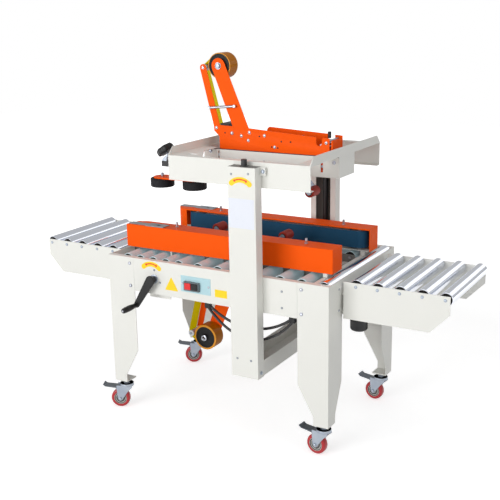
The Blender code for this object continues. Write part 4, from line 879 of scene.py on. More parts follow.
# ---- side belts ----------------------------------------------------------------------------
PULLEY_R, BELT_THICK, BELT_EDGE = 0.033, 0.003, 0.0006
BED_FLOOR = 0.6878          # under the carriage's bed plate
FIN_COUNT = 28
STUDS_X = (-0.2495, 0.3305)
for side, prefix in ((-1, "near"), (1, "far")):
    body = f"{prefix}_belt_drive"
    cover_low, cover_high = box_of(f"{prefix}_belt_cover")
    belt_low, belt_high = box_of(f"{prefix}_belt")
    dressed(f"{prefix}_belt_cover", ORANGE, width=0.0010, angle=40)
    axis_y = (belt_low.y + belt_high.y) / 2
    idler_x = belt_low.x + PULLEY_R + BELT_THICK
    drive_x = belt_high.x - PULLEY_R - BELT_THICK

    def loop(radius, steps=28):
        return arc((drive_x, axis_y), radius, -90, 90, steps) + arc((idler_x, axis_y), radius, 90, 270, steps)

    bm = bmesh.new()
    rings = []
    outer_r = PULLEY_R + BELT_THICK
    for radius, z in ((PULLEY_R + 0.0002, belt_low.z), (outer_r - BELT_EDGE, belt_low.z),
                      (outer_r, belt_low.z + BELT_EDGE), (outer_r, belt_high.z - BELT_EDGE),
                      (outer_r - BELT_EDGE, belt_high.z), (PULLEY_R + 0.0002, belt_high.z)):
        rings.append([bm.verts.new(at(x, y, z)) for x, y in loop(radius)])
    bridge(bm, rings + rings[:1])
    piece_from(f"{prefix}_belt_loop", mesh_from(bm, math.radians(25)), BELT_RUBBER, body,
               [f"{prefix}_belt"])

    # carriage: bed plate, pulleys, belt bed, slide foot, nut lug and gearmotor
    flange_r = PULLEY_R - 0.0004
    pulley = [(0, belt_low.z - 0.002), (flange_r - 0.0012, belt_low.z - 0.002), (flange_r, belt_low.z - 0.0005),
              (flange_r, belt_high.z - 0.0012), (flange_r - 0.0012, belt_high.z), (0.022, belt_high.z),
              (0.020, belt_high.z - 0.003), (0.012, belt_high.z - 0.003), (0.011, belt_high.z),
              (0, belt_high.z)]
    turned = [lathe(pulley, at(x, axis_y, 0), UP, 48) for x in (idler_x, drive_x)]
    turned += [lathe(rod(0.010, BED_FLOOR, belt_low.z), at(x, axis_y, 0), UP, 24) for x in (idler_x, drive_x)]
    turned.append(lathe(rod(0.0052, 0.608, BED_FLOOR + 0.001), at(drive_x, axis_y, 0), UP, 24))
    piece_from(f"{prefix}_belt_pulleys", joined(turned), ALUMINIUM, body, [f"{prefix}_belt_carriage"])

    wall = 0.0036
    plate_y = on_side(side, 0.130 + wall, 0.212 - wall)
    plate_x = (idler_x - PULLEY_R - 0.0048, drive_x + PULLEY_R + 0.0098)
    bed = [bevelled(block(x, y, z), edge) for x, y, z, edge in (
        (plate_x, plate_y, (BED_FLOOR, BED_FLOOR + 0.0029), 0.0008),
        ((idler_x + 0.042, drive_x - 0.042), (axis_y - 0.030, axis_y + 0.030), (belt_low.z, 0.7638), 0.0015),
        ((0.4157, 0.4338), on_side(side, 0.1402, 0.2018), (0.6690, BED_FLOOR + 0.001), 0.0012),
        ((-0.2596, -0.2539), on_side(side, 0.1952, 0.2058), (0.6085, BED_FLOOR + 0.001), 0.0006))]
    piece_from(f"{prefix}_belt_bed", joined(bed), CREAM, body)
    nut = lathe([(0.0084, 0.1952), (0.0156, 0.1952), (0.0160, 0.1960), (0.0160, 0.2050), (0.0156, 0.2058),
                 (0.0084, 0.2058)], at(hub.x, 0, HUB_Z), (0, side, 0), 6, closed=True)
    piece_from(f"{prefix}_width_nut", nut, ZINC, body)

    motor_r, motor_low, motor_high = 0.0378, 0.3452, 0.6118
    centre = at(drive_x, axis_y, 0)
    casing = [(0, motor_high), (0.020, motor_high), (0.021, motor_high - 0.003), (motor_r, motor_high - 0.003),
              (motor_r, motor_high - 0.010), (0.034, motor_high - 0.012), (0.034, 0.520), (motor_r, 0.518),
              (motor_r, 0.508), (0.0335, 0.506), (0.0335, 0.395), (motor_r - 0.001, 0.393),
              (motor_r - 0.001, 0.385), (0.036, 0.383), (0.036, motor_low + 0.008), (0.032, motor_low + 0.002),
              (0.028, motor_low), (0, motor_low)]
    housing = [numbered(lathe(casing, centre, UP, 48), 0, 1)]
    fin = block((drive_x - 0.0008, drive_x + 0.0008), (axis_y + 0.0325, axis_y + 0.0372), (0.396, 0.505))
    for k in range(FIN_COUNT):
        swing = Matrix.Rotation(2 * math.pi * k / FIN_COUNT, 4, "Z")
        copy = fin.copy()
        copy.transform(Matrix.Translation(centre) @ swing @ Matrix.Translation(-centre))
        housing.append(numbered(copy, 0, 1))
    motor_coat = MOTOR_GREY if side < 0 else BLACK_STEEL
    piece_from(f"{prefix}_gearmotor", joined(housing), motor_coat, body)

    # studs and the belt adjuster on top of the cover
    top = cover_high.z
    stud = [(0, top + HAIR), (0.0075, top + HAIR), (0.0075, top + 0.0020), (0.0050, top + 0.0022),
            (0.0050, top + 0.0190), (0.0042, top + 0.0200), (0, top + 0.0200)]
    studs = [lathe(stud, at(x, axis_y + side * 0.004, 0), UP, 32) for x in STUDS_X]
    piece_from(f"{prefix}_cover_studs", joined(studs), BRIGHT, body)
    narrow = block((cover_low.x + 0.004, -0.376), on_side(side, 0.170, 0.202), (top + HAIR, top + 0.0022))
    square = block((-0.378, -0.290), on_side(side, 0.162, 0.208), (top + HAIR, top + 0.0032))
    slot_x, slot_y = -0.325, side * 0.184
    slot = slab(oval(slot_x, slot_y, 0.003, 0.0085), "Z", top - 0.001, top + 0.010)
    plates = [bevelled(narrow, 0.0005), cut_with(bevelled(square, 0.0006), [slot])]
    piece_from(f"{prefix}_adjuster_plate", joined(plates), ALUMINIUM, body)
    dark = [(0, top + HAIR / 2), (0.0072, top + HAIR / 2), (0.0072, top + 0.0026), (0.0064, top + 0.0030),
            (0.003, top + 0.0030), (0.0028, top + 0.0014), (0, top + 0.0014)]
    adjuster_screw = lathe(dark, at(slot_x, slot_y, 0), UP, 24)
    piece_from(f"{prefix}_adjuster_screw", adjuster_screw, BLACK_STEEL, body)

# ---- crank and width screw -----------------------------------------------------------------
CRANK_SWING = (-0.0715, -0.110)
arm_face = -0.345
CRANK_HUB_R = 0.0195
tip = (hub.x + CRANK_SWING[0], HUB_Z + CRANK_SWING[1])
arm_outline = capsule((hub.x, HUB_Z), tip, CRANK_HUB_R - 0.0002, 0.0119, 14)
arm = bevelled(slab(arm_outline, "Y", arm_face + 0.0002, arm_face + 0.0108), 0.0028, 3)
boss = lathe([(0.0145, 0), (0.0148, 0.004), (0.0130, 0.0255), (0, 0.0255)], at(hub.x, arm_face + 0.001, HUB_Z),
             BACK, 32)
grip_length = 0.088 - 0.0016        # the pin's head stands out past it
grip_profile = [(0, 0.004), (0.0095, 0.004), (0.0098, -0.004), (0.0088, -0.012), (0.0100, -0.022),
                (0.0118, -0.036), (0.0119, -0.052), (0.0114, -0.070), (0.0104, -grip_length + 0.006),
                (0.0080, -grip_length + 0.001), (0.0050, -grip_length), (0, -grip_length)]
grip = lathe(grip_profile, at(tip[0], arm_face, tip[1]), BACK, 36, sharp=math.radians(60))
piece_from("crank_arm", joined([arm, boss, grip]), BLACK_PLASTIC, "width_crank",
           ["width_crank"])
screw_end = HALF_WIDTH - 0.0035
pin = lathe([(0, -0.0040), (0.0042, -0.0040), (0.0042, 0.0008), (0.0034, 0.0014), (0, 0.0014)],
            at(tip[0], arm_face - grip_length, tip[1]), FRONT, 24)
piece_from("grip_pin", pin, BRIGHT, "width_crank")
width_profile = [(0, -0.3400), (0.0078, -0.3400), (0.0078, screw_end - 0.001), (0.0070, screw_end),
                 (0, screw_end)]
width_screw = lathe(width_profile, at(hub.x, 0, HUB_Z), BACK, 28)
piece_from("width_screw", width_screw, BRIGHT, "width_crank")
collar = lathe([(0.0084, 0), (0.0185, 0), (0.0185, 0.0022), (0.0170, 0.0030), (0.0084, 0.0030)],
               at(hub.x, panel_face - HAIR, HUB_Z), FRONT, 40, closed=True)
piece_from("crank_collar", collar, ZINC, FRAME_BODY)

# ---- switch --------------------------------------------------------------------------------
dressed("stop_button", STOP_RED, width=0.0012, angle=40)
dressed("start_button", BLACK_PLASTIC, width=0.0012, angle=40)
switch_screws = [(at(x, panel_face - PLATE_PROUD, 0.5995), FRONT) for x in (-0.132, -0.012)]
fasteners("switch_plate_screws", "small", switch_screws, FRAME_BODY)

# ---- tape heads ----------------------------------------------------------------------------
ROLL_S, GUIDE_S, GUIDE_DROP = -0.386, -0.456, 0.008
PLATE_OUT = 0.045


class Head:
    """Places on one tape head: s along the travel, t away from the carton, side of its arms."""

    def __init__(self, prefix, x, edge, away, side, reach, tape_r, body):
        self.prefix, self.x, self.edge, self.away, self.side = prefix, x, edge, away, side
        self.reach, self.tape_r, self.body = reach, tape_r, body

    def flat(self, s, t):
        return (self.x + s, self.edge + self.away * t)

    def place(self, s, t, y=0.0):
        x, z = self.flat(s, t)
        return at(x, self.side * y, z)

    def out(self):
        return (0, self.side, 0)


UPPER = Head("upper", 0.2735, 1.018, 1, -1, 0.392, 0.050, HEAD_BODY)
LOWER = Head("lower", 0.158, 0.675, -1, 1, 0.413, 0.055, FRAME_BODY)
PLATE_BOLTS = {     # places on the plate, as (s, t)
    "pan": ((-0.400, 0.152), (-0.2865, 0.126), (-0.250, 0.1406), (-0.2557, 0.1096), (-0.183, 0.132),
            (-0.139, 0.090), (0.079, 0.119)),
    "dome": ((-0.329, 0.134),),
}
FAR_PLATE_BOLTS = {"pan": ((-0.2557, 0.1096), (-0.139, 0.090), (0.079, 0.119)), "dome": ()}
PLATE_HOLES = ((-0.361, 0.134), (-0.110, 0.1134), (-0.070, 0.114), (-0.152, 0.090), (-0.126, 0.088),
               (-0.206, 0.128))


def head_plates(head):
    """Both side plates in paint with bare spacers, their bolts, and dark discs as painted shade for their small
    holes.
    """
    # The small holes are near-black discs on the plate's face: painted shade, not openings.
    hole = [(0, HAIR / 2), (0.0032, HAIR / 2), (0.0030, HAIR * 2), (0, HAIR * 2)]
    hole_shades = [lathe(hole, head.place(s, t, PLATE_OUT), head.out(), 20) for s, t in PLATE_HOLES]
    piece_from(f"{head.prefix}_plate_hole_shades", joined(hole_shades), SHADOW_PLASTIC, head.body)
    inside, outside = PLATE_OUT - 0.0033, PLATE_OUT + 0.0005
    dressed(f"{head.prefix}_head_plates", [ORANGE, ZINC], width=0,
            pick=lambda place: 0 if inside <= abs(place.y) <= outside else 1)
    for kind in ("pan", "dome"):
        spots = [(head.place(s, t, PLATE_OUT), head.out()) for s, t in PLATE_BOLTS[kind]]
        spots += [(head.place(s, t - 0.004, -PLATE_OUT), (0, -head.side, 0)) for s, t in FAR_PLATE_BOLTS[kind]]
        fasteners(f"{head.prefix}_plate_{kind}_bolts", kind, spots, head.body)
    spindle_end = (head.place(ROLL_S, head.reach, PLATE_OUT), head.out())
    fasteners(f"{head.prefix}_spindle_bolt", "hex", [spindle_end], head.body, ZINC)
    guide_end = (head.place(GUIDE_S, head.reach - GUIDE_DROP, PLATE_OUT), head.out())
    fasteners(f"{head.prefix}_guide_bolt", "pan", [guide_end], head.body)


def tape_roll(head):
    """Wound tape on its core, with the dark retaining disc on the operator's side."""
    start, stop = on_side(head.side, PLATE_OUT - 0.007, PLATE_OUT - 0.067)
    r, hole, width = head.tape_r, 0.0084, stop - start

    def ring(points):
        profile = [(radius, start + depth) for radius, depth in points]
        return lathe(profile, head.place(ROLL_S, head.reach), BACK, 72, closed=True)

    wound = numbered(ring([(0.0386, 0.0016), (r - 0.0006, 0.0016), (r, 0.0022), (r, width - 0.0008),
                           (r - 0.0006, width - 0.0002), (0.0386, width - 0.0002)]), 0, 3)
    for face in wound.polygons:
        if abs(face.normal.y) > 0.5:
            face.material_index = 1
    core = numbered(ring([(hole, 0.0004), (0.0130, 0.0004), (0.0150, 0.0030), (0.0400, 0.0030),
                          (0.0420, 0.0002), (0.0458, 0.0002), (0.0466, 0.0006), (0.0466, 0.0014),
                          (0.0384, 0.0014),
                          (0.0384, width - 0.0012), (0.0330, width - 0.0012), (0.0330, width - 0.008),
                          (0.0130, width - 0.010), (0.0130, width - 0.0002), (hole, width - 0.0002)]), 2, 3)
    piece_from(f"{head.prefix}_wound_tape", joined([wound, core]), [TAPE_WOUND, TAPE_EDGE, SHADOW_PLASTIC],
               f"{head.prefix}_tape_roll", [f"{head.prefix}_tape_roll"])


def spindle_nose(head):
    """Turned end of the lower tape spindle, on the open side of its roll."""
    x, z = head.flat(ROLL_S, head.reach)
    start = head.side * (PLATE_OUT - 0.067) - 0.0004
    profile = [(0, -0.012), (0.0072, -0.012), (0.0072, 0.0035), (0.0125, 0.0040), (0.0125, 0.0085),
               (0.0080, 0.0100), (0.0062, 0.0200), (0.0030, 0.0235), (0, 0.0240)]
    nose = lathe(profile, at(x, start, z), FRONT, 28)
    piece_from(f"{head.prefix}_spindle_nose", nose, BRIGHT, head.body)


def tape_path(head):
    """The tape's run from its roll over the guide roller and down into the head, as (s, t) points."""
    guide = Vector((GUIDE_S, head.reach - GUIDE_DROP))
    guide_r = 0.0142
    roll = Vector((ROLL_S, head.reach))
    start_angle = math.radians(105)
    leave = roll + head.tape_r * Vector((math.cos(start_angle), math.sin(start_angle)))
    turns = [math.radians(80 + k * 12.5) for k in range(10)]
    over = [guide + guide_r * Vector((math.cos(angle), math.sin(angle))) for angle in turns]
    return [leave] + over + [Vector((-0.4115, 0.168)), Vector((-0.399, 0.125))]


def tape_web(head):
    """The free run of tape as a thin strip with its own thickness."""
    half, film, off_middle = 0.0290, 0.00035, 0.008
    points = tape_path(head)
    bm = bmesh.new()
    rows = []
    for k, point in enumerate(points):
        before, after = points[max(k - 1, 0)], points[min(k + 1, len(points) - 1)]
        run = (after - before).normalized()
        across = Vector((run.y, -run.x)) * -film
        corners = []
        for offset, y in ((Vector((0, 0)), -half), (Vector((0, 0)), half), (across, half), (across, -half)):
            x, z = head.flat(*(point + offset))
            corners.append(bm.verts.new(at(x, y + head.side * off_middle, z)))
        rows.append(corners)
    bridge(bm, rows)
    bm.faces.new(rows[0])
    bm.faces.new(rows[-1])
    piece_from(f"{head.prefix}_tape_web", mesh_from(bm), TAPE_FILM, head.body)


def guide_roller(head):
    """White roller at the top of the narrow arm."""
    near, far = PLATE_OUT - 0.0045, PLATE_OUT - 0.069
    r = 0.0138
    waist = r - 0.0012
    profile = [(0.0052, near), (r - 0.001, near), (r, near - 0.001), (r, near - 0.004), (waist, near - 0.006),
               (waist, far + 0.006), (r, far + 0.004), (r, far + 0.001), (r - 0.001, far), (0.0052, far)]
    centre = head.place(GUIDE_S, head.reach - GUIDE_DROP)
    mesh = lathe([(radius, head.side * y) for radius, y in profile], centre, BACK, 36, closed=True)
    piece_from(f"{head.prefix}_guide_roller", mesh, NYLON, head.body)


def arm_stay(head):
    """Steel rod with nuts that ties the two arms together."""
    start, end = head.place(-0.427, 0.230, PLATE_OUT + 0.006), head.place(-0.311, 0.240, PLATE_OUT + 0.006)
    shaft = tube([start, end], 0.0052, BRIGHT, 20)
    nut = [(0, 0.0002), (0.0064, 0.0002), (0.0064, 0.0105), (0.0055, 0.0115), (0, 0.0115)]
    nuts = [lathe(nut, spot - Vector(head.out()) * 0.0058, head.out(), 20) for spot in (start, end)]
    piece_from(f"{head.prefix}_arm_stay", joined([shaft] + nuts), BRIGHT, head.body)


CROSS_RODS = (      # s, t and radius
    (-0.344, 0.108, 0.009), (-0.300, 0.030, 0.012), (-0.215, 0.106, 0.005), (-0.140, 0.060, 0.004),
    (-0.010, 0.062, 0.006), (0.058, 0.108, 0.006), (0.0865, 0.126, 0.0045))
GUARD_STRIPS = (((-0.305, -0.235), (0.004, 0.010)), ((-0.075, 0.020), (0.006, 0.012)))


def head_fittings(head):
    """Knife block at the root of the arms, end piece, cross rods and guards between the plates."""
    inside = PLATE_OUT - 0.0036

    def inner_block(s, t, y=inside, edge=0.0012):
        (x1, z1), (x2, z2) = head.flat(s[0], t[0]), head.flat(s[1], t[1])
        return bevelled(block(sorted((x1, x2)), both(y), sorted((z1, z2))), edge)

    black = [inner_block((-0.384, -0.342), (0.128, 0.170)), inner_block((-0.236, -0.215), (0.060, 0.100)),
             lathe([(0, -0.004), (0.0068, -0.004), (0.0068, 0.018), (0.0058, 0.020), (0, 0.020)],
                   head.place(0.071, 0.136, 0.0), (0, 0, head.away), 24)]
    piece_from(f"{head.prefix}_head_blocks", joined(black), BLACK_PLASTIC, head.body)
    end_piece = inner_block((0.0975, 0.1035), (0.034, 0.128), edge=0.0006)
    piece_from(f"{head.prefix}_end_piece", end_piece, ORANGE, head.body)
    bars = [lathe(rod(r, -inside, inside), head.place(s, t), BACK, 28) for s, t, r in CROSS_RODS]
    bars += [inner_block(s, t, 0.030, 0.0008) for s, t in GUARD_STRIPS]
    piece_from(f"{head.prefix}_cross_rods", joined(bars), ZINC, head.body)


def press_arm(head, node_name, roller_s, pivot_s):
    """Two flanks, their pivot tube and the rubber roller on its pin."""
    tip, pivot = (roller_s, -0.078), (pivot_s, 0.034)
    bore, plate_in = 0.0054, 0.0301
    metalwork = []
    for side in (-1, 1):
        outline = capsule(head.flat(*pivot), head.flat(*tip), 0.0118, 0.0094, 10)
        plate = slab(outline, "Y", *on_side(side, 0.0302, 0.0328))
        hole = lathe(rod(bore, -0.05, 0.05), head.place(*pivot), BACK, 24)
        metalwork.append(bevelled(cut_with(plate, [hole]), 0.0004))
    pivot_tube = lathe([(bore, -plate_in), (0.0094, -plate_in), (0.0094, plate_in), (bore, plate_in)],
                       head.place(*pivot), BACK, 28, closed=True)
    pin = lathe(rod(0.0048, -0.0345, 0.0345), head.place(*tip), BACK, 20)
    steel = [numbered(part, 0, 3) for part in metalwork + [pivot_tube, pin]]
    r, half = 0.0199, 0.0288
    chamfer, core_end = 0.0015, half - 0.0015
    rubber = lathe([(0.0125, -half), (r - chamfer, -half), (r, -core_end), (r, core_end), (r - chamfer, half),
                    (0.0125, half)], head.place(*tip), BACK, 48, closed=True)
    core = lathe([(0.0052, -core_end), (0.0124, -core_end), (0.0124, core_end), (0.0052, core_end)],
                 head.place(*tip), BACK, 32, closed=True)
    piece_from(f"{node_name}_detail", joined(steel + [numbered(rubber, 1, 3), numbered(core, 2, 3)]),
               [ZINC, PRESS_RUBBER, BLACK_PLASTIC], node_name, [node_name])


for head in (UPPER, LOWER):
    head_plates(head)
    tape_roll(head)
    tape_web(head)
    guide_roller(head)
    arm_stay(head)
    head_fittings(head)
    press_arm(head, f"{head.prefix}_outfeed_press_arm", 0.0, -0.112)
    press_arm(head, f"{head.prefix}_infeed_press_arm", -0.308, -0.196)

spindle_nose(LOWER)

# ---- cradle and press rollers of the head frame --------------------------------------------
edge_rods = [tube([at(x, side * 0.0665, 1.0907) for x in (head_low.x + 0.006, head_high.x - 0.006)], 0.0014,
                  BLACK_STEEL, 12) for side in (-1, 1)]
piece_from("cradle_edge_rods", joined(edge_rods), BLACK_STEEL, HEAD_BODY)
CRADLE_ENDS = ((-0.142, 1.080), (0.395, 1.070))
cradle_bolts = [(at(x, -CRADLE_HALF, z), FRONT) for x, z in CRADLE_ENDS + ((0.10, 1.050), (0.24, 1.047))]
cradle_bolts += [(at(x, CRADLE_HALF, z), BACK) for x, z in CRADLE_ENDS]
fasteners("cradle_bolts", "small_hex", cradle_bolts, HEAD_BODY)

gussets = []
corner_x = head_low.x + HEAD_WEB + 0.0003
for side in (-1, 1):
    near, far = side * 0.2975, side * 0.158
    outline = [(corner_x, near), (-0.0320, near), (corner_x, far)]
    gusset = slab(outline, "Z", BEAM_TOP - 0.003, BEAM_TOP - 0.0004)
    gussets.append(bevelled(cut_with(gusset, [long_hole(side)]), 0.0004))
piece_from("corner_gussets", joined(gussets), CREAM, HEAD_BODY)

BAR_MIDDLE, BAR_TOP = -0.225, 0.992


def bracket_finish(place):
    """Orange bar, black post, and plated disc pins and upper plate."""
    if 0.9856 < place.z < 0.996 and abs(place.x - BAR_MIDDLE) > 0.05:
        return 2
    if place.z < BAR_TOP:
        return 0
    return 1 if place.z < 1.0495 and place.x > -0.300 else 2


dressed("press_bracket", [ORANGE, BLACK_STEEL, ZINC], width=0.0007, pick=bracket_finish)
DISC_Y = -0.180
disc_bolts = [(at(x, DISC_Y, 0.9935), UP) for x in (-0.3015, -0.1485)]
fasteners("press_disc_bolts", "small_hex", disc_bolts, "press_bracket", ZINC)
for disc in ("infeed_press_disc", "outfeed_press_disc"):
    low, high = box_of(disc)
    x = (low.x + high.x) / 2
    r = (high.x - low.x) / 2
    bottom = [(0.0064, low.z), (0.022, low.z), (0.024, low.z + 0.003), (r - 0.012, low.z + 0.003),
              (r - 0.009, low.z), (r - 0.003, low.z), (r, low.z + 0.003)]
    top = [(r, high.z - 0.003), (r - 0.003, high.z), (r - 0.009, high.z), (r - 0.012, high.z - 0.003),
           (0.024, high.z - 0.003), (0.022, high.z), (0.0064, high.z)]
    rubber = lathe(bottom + top, at(x, DISC_Y, 0), UP, 64, closed=True, sharp=math.radians(40))
    piece_from(f"{disc}_rubber", rubber, DISC_RUBBER, disc, [disc])

KNOB_R, KNOB_HALF, LOBES = 0.037, 0.013, 7
LOBE_DEPTH, KNOB_TILT = 0.0045, math.radians(36)
knob_turn = Matrix.Translation(at(*centre_of("press_knob"))) @ Matrix.Rotation(-KNOB_TILT, 4, "Y")
bm = bmesh.new()
levels = ((0.80, -KNOB_HALF), (0.93, -KNOB_HALF + 0.0010), (0.99, -KNOB_HALF + 0.0045), (1.0, 0.0),
          (0.985, KNOB_HALF - 0.0050), (0.90, KNOB_HALF - 0.0012), (0.70, KNOB_HALF),
          (0.48, KNOB_HALF - 0.0012))
steps = LOBES * 12
rings = []
for scale, height in levels:
    ring = []
    for k in range(steps):
        angle = 2 * math.pi * k / steps
        reach = scale * (KNOB_R - LOBE_DEPTH * (1 - math.cos(LOBES * angle)) / 2)
        ring.append(bm.verts.new((reach * math.cos(angle), reach * math.sin(angle), height)))
    rings.append(ring)
bridge(bm, rings)
bm.faces.new(rings[0])
bm.faces.new(rings[-1])
bm.transform(knob_turn)
piece_from("clamp_knob", mesh_from(bm, math.radians(50)), BLACK_PLASTIC, "press_knob",
           ["press_knob"])

# ---- casters -------------------------------------------------------------------------------
WHEEL_R, WHEEL_HALF = 0.040, 0.014
HEADINGS = {-1: 205, 1: 175}        # degrees, at the infeed and the outfeed end
TYRE_SECTION = ((0.0270, 0.0130), (0.0330, WHEEL_HALF), (0.0358, 0.0130), (0.0390, 0.0100), (0.0398, 0.0070))
HUB_SECTION = ((0.0054, 0.0135), (0.0110, 0.0135), (0.0120, 0.0110), (0.0180, 0.0095), (0.0190, 0.0118),
               (0.0215, 0.0118), (0.0225, 0.0095), (0.0245, 0.0095), (0.0255, 0.0128), (0.0269, 0.0128))
RACE_RING = ((0.0125, 0.0952), (0.0285, 0.0952), (0.0290, 0.0965), (0.0290, 0.0990), (0.0270, 0.1002),
             (0.0270, 0.1010), (0.0290, 0.1022), (0.0290, 0.1052), (0.0284, 0.1068), (0.0125, 0.1068))


def mirrored_ring(section):
    """A closed profile from its outer half, the same on both sides of the wheel."""
    return [(radius, -depth) for radius, depth in section] + list(reversed(section))


for corner in CORNERS:
    end, side = corner_signs(corner)
    fork, wheel, pedal = (f"{kind}_{corner}" for kind in ("caster_fork", "caster_wheel", "brake_pedal"))
    dressed(fork, ZINC, width=0.0005)
    dressed(pedal, BRAKE_STEEL, width=0.0005)
    wheel_place = centre_of(wheel)
    turn = math.radians(HEADINGS[end])
    axle_way = Vector((-math.sin(turn), math.cos(turn), 0))
    centre = at(wheel_place.x, wheel_place.y, WHEEL_R)
    tyre = lathe(mirrored_ring(TYRE_SECTION), centre, axle_way, 64, closed=True, sharp=math.radians(50))
    hub_mesh = numbered(lathe(mirrored_ring(HUB_SECTION), centre, axle_way, 48, closed=True), 1, 3)
    # The faces of the hub's recessed groove take the dark grey: painted shade in the recess.
    for face in hub_mesh.polygons:
        depth = abs((face.center - centre).dot(axle_way))
        if 0.008 < depth < 0.0112:
            face.material_index = 2
    piece_from(f"{corner}_wheel", joined([numbered(tyre, 0, 3), hub_mesh]), [TYRE, HUB, HUB_GROOVE_SHADE], wheel,
               [wheel])
    races = lathe(RACE_RING, at(end * 0.4595, side * 0.279, HAIR), UP, 48, closed=True)
    piece_from(f"{corner}_race", races, ZINC, fork)
    axle_bolts = [(centre + axle_way * way * 0.0186, tuple(axle_way * way)) for way in (-1, 1)]
    fasteners(f"{corner}_axle_bolt", "dome", axle_bolts, fork, ZINC)

# ---- cables --------------------------------------------------------------------------------
CABLE_R, CABLE_Y, CLIP = 0.0054, -0.296, 0.024
CABLE_STEPS = 48
lowest = box_of("motor_cables")[0].z + CABLE_R
clip_x = (-0.026, 0.340)
clip_top = 0.5347
clip_middle = clip_top - CLIP / 2


def hanging(low, spread):
    """A cable's points, held in both clips, down to low, with its ends moved in by spread."""
    points = []
    for k in range(CABLE_STEPS + 1):
        u = k / CABLE_STEPS
        sag = 1 - (2 * u - 1) ** 2
        x = clip_x[0] + spread + (clip_x[1] - clip_x[0] - 2 * spread) * u
        points.append(at(x, CABLE_Y, clip_middle - (clip_middle - low) * sag ** 0.9))
    return points


cables = [tube(hanging(lowest, -0.006), CABLE_R, CABLE_JACKET),
          tube(hanging(lowest + 0.045, 0.006), CABLE_R, CABLE_JACKET)]
piece_from("motor_cable_pair", joined(cables), CABLE_JACKET, FRAME_BODY, ["motor_cables"])
clip_y = (CABLE_Y - 0.009, CABLE_Y + 0.009)
clips = [block((x - CLIP / 2, x + CLIP / 2), clip_y, (clip_top - CLIP, clip_top)) for x in clip_x]
piece_from("cable_clips", joined([bevelled(clip, 0.002) for clip in clips]), BLACK_PLASTIC, FRAME_BODY)

# ---- labels --------------------------------------------------------------------------------
LABEL_THICK = 0.0003


def label(name, outline, face, finish, body, lift=0.0):
    """A flat label on the operator's side of a painted face."""
    mesh = slab(outline, "Y", face - HAIR - lift - LABEL_THICK, face - HAIR - lift)
    return piece_from(name, mesh, finish, body)


def curved_label(name, centre_x, top_z, face, body):
    """Curved yellow band with round ends, carrying an arrow that points both ways."""
    radius, half_angle, band = 0.056, 42, 0.0100
    middle = (centre_x, top_z - radius - band)

    def spot(reach, degrees):
        angle = math.radians(degrees)
        return (middle[0] + reach * math.cos(angle), middle[1] + reach * math.sin(angle))

    outer = arc(middle, radius + band, 90 + half_angle, 90 - half_angle, 24)
    inner = arc(middle, radius - band, 90 - half_angle, 90 + half_angle, 24)
    right, left = 90 - half_angle, 90 + half_angle
    right_end = arc(spot(radius, right), band, right, right - 180, 10)[1:-1]
    left_end = arc(spot(radius, left), band, left + 180, left, 10)[1:-1]
    label(name, outer + right_end + inner + left_end, face, LABEL_YELLOW, body)
    line_r, line_half, head_half = radius + 0.0012, 0.0023, 0.0066
    sweep, head_sweep = 23, 8
    shaft = arc(middle, line_r + line_half, 90 + sweep, 90 - sweep, 20)
    shaft += arc(middle, line_r - line_half, 90 - sweep, 90 + sweep, 20)
    label(f"{name}_arrow_shaft", shaft, face, ARROW_RED, body, LABEL_THICK)
    for sign, end_name in ((1, "right"), (-1, "left")):
        base = 90 - sign * sweep
        point = base - sign * head_sweep
        corners = [spot(line_r + head_half, base), spot(line_r, point), spot(line_r - head_half, base)]
        label(f"{name}_arrow_{end_name}", corners, face, ARROW_RED, body, LABEL_THICK)


curved_label("crank_label", -0.279, 0.6675, panel_face, FRAME_BODY)
curved_label("column_label", 0.165, 1.048, column_face, FRAME_BODY)
label("column_sticker", rectangle((0.1135, 0.2195), (0.860, 0.969)), column_face, LABEL_PALE, FRAME_BODY)


def rounded_corners(points, radius, steps=4):
    """An outline with each corner rounded."""
    result = []
    for k, corner in enumerate(points):
        here = Vector(corner)
        before = (Vector(points[k - 1]) - here).normalized()
        after = (Vector(points[(k + 1) % len(points)]) - here).normalized()
        half = before.angle(after) / 2
        reach = radius / math.tan(half)
        start, end = here + before * reach, here + after * reach
        for j in range(steps + 1):
            u = j / steps
            result.append(tuple((1 - u) ** 2 * start + 2 * u * (1 - u) * here + u * u * end))
    return result


triangle = rounded_corners([(-0.2165, 0.562), (-0.1535, 0.562), (-0.185, 0.617)], 0.003)
label("panel_triangle", triangle, panel_face, LABEL_YELLOW, FRAME_BODY)
oblong = rounded_corners(rectangle((0.0155, 0.0695), (0.566, 0.596)), 0.002)
label("panel_label", oblong, panel_face, LABEL_YELLOW, FRAME_BODY)

# plate under the panel, below the crank
plate_outline = rounded_corners(rectangle((-0.3235, -0.2205), (0.506, 0.534)), 0.004)
piece_from("crank_bracket", bevelled(slab(plate_outline, "Y", -0.270, -0.267), 0.0006), CREAM, FRAME_BODY)

# ---- floor, light and camera ---------------------------------------------------------------
FLOOR_HALF = 9.0
floor_mesh = bpy.data.meshes.new("floor")
floor_corners = rectangle((-FLOOR_HALF, FLOOR_HALF), (-FLOOR_HALF, FLOOR_HALF))
floor_mesh.from_pydata([(x, y, 0) for x, y in floor_corners], [], [(0, 1, 2, 3)])
floor_object = bpy.data.objects.new("studio_floor", floor_mesh)
bpy.context.scene.collection.objects.link(floor_object)

FLOOR_GLOW = 0.56           # added for the camera, so that the lit floor is white and its shadow stays


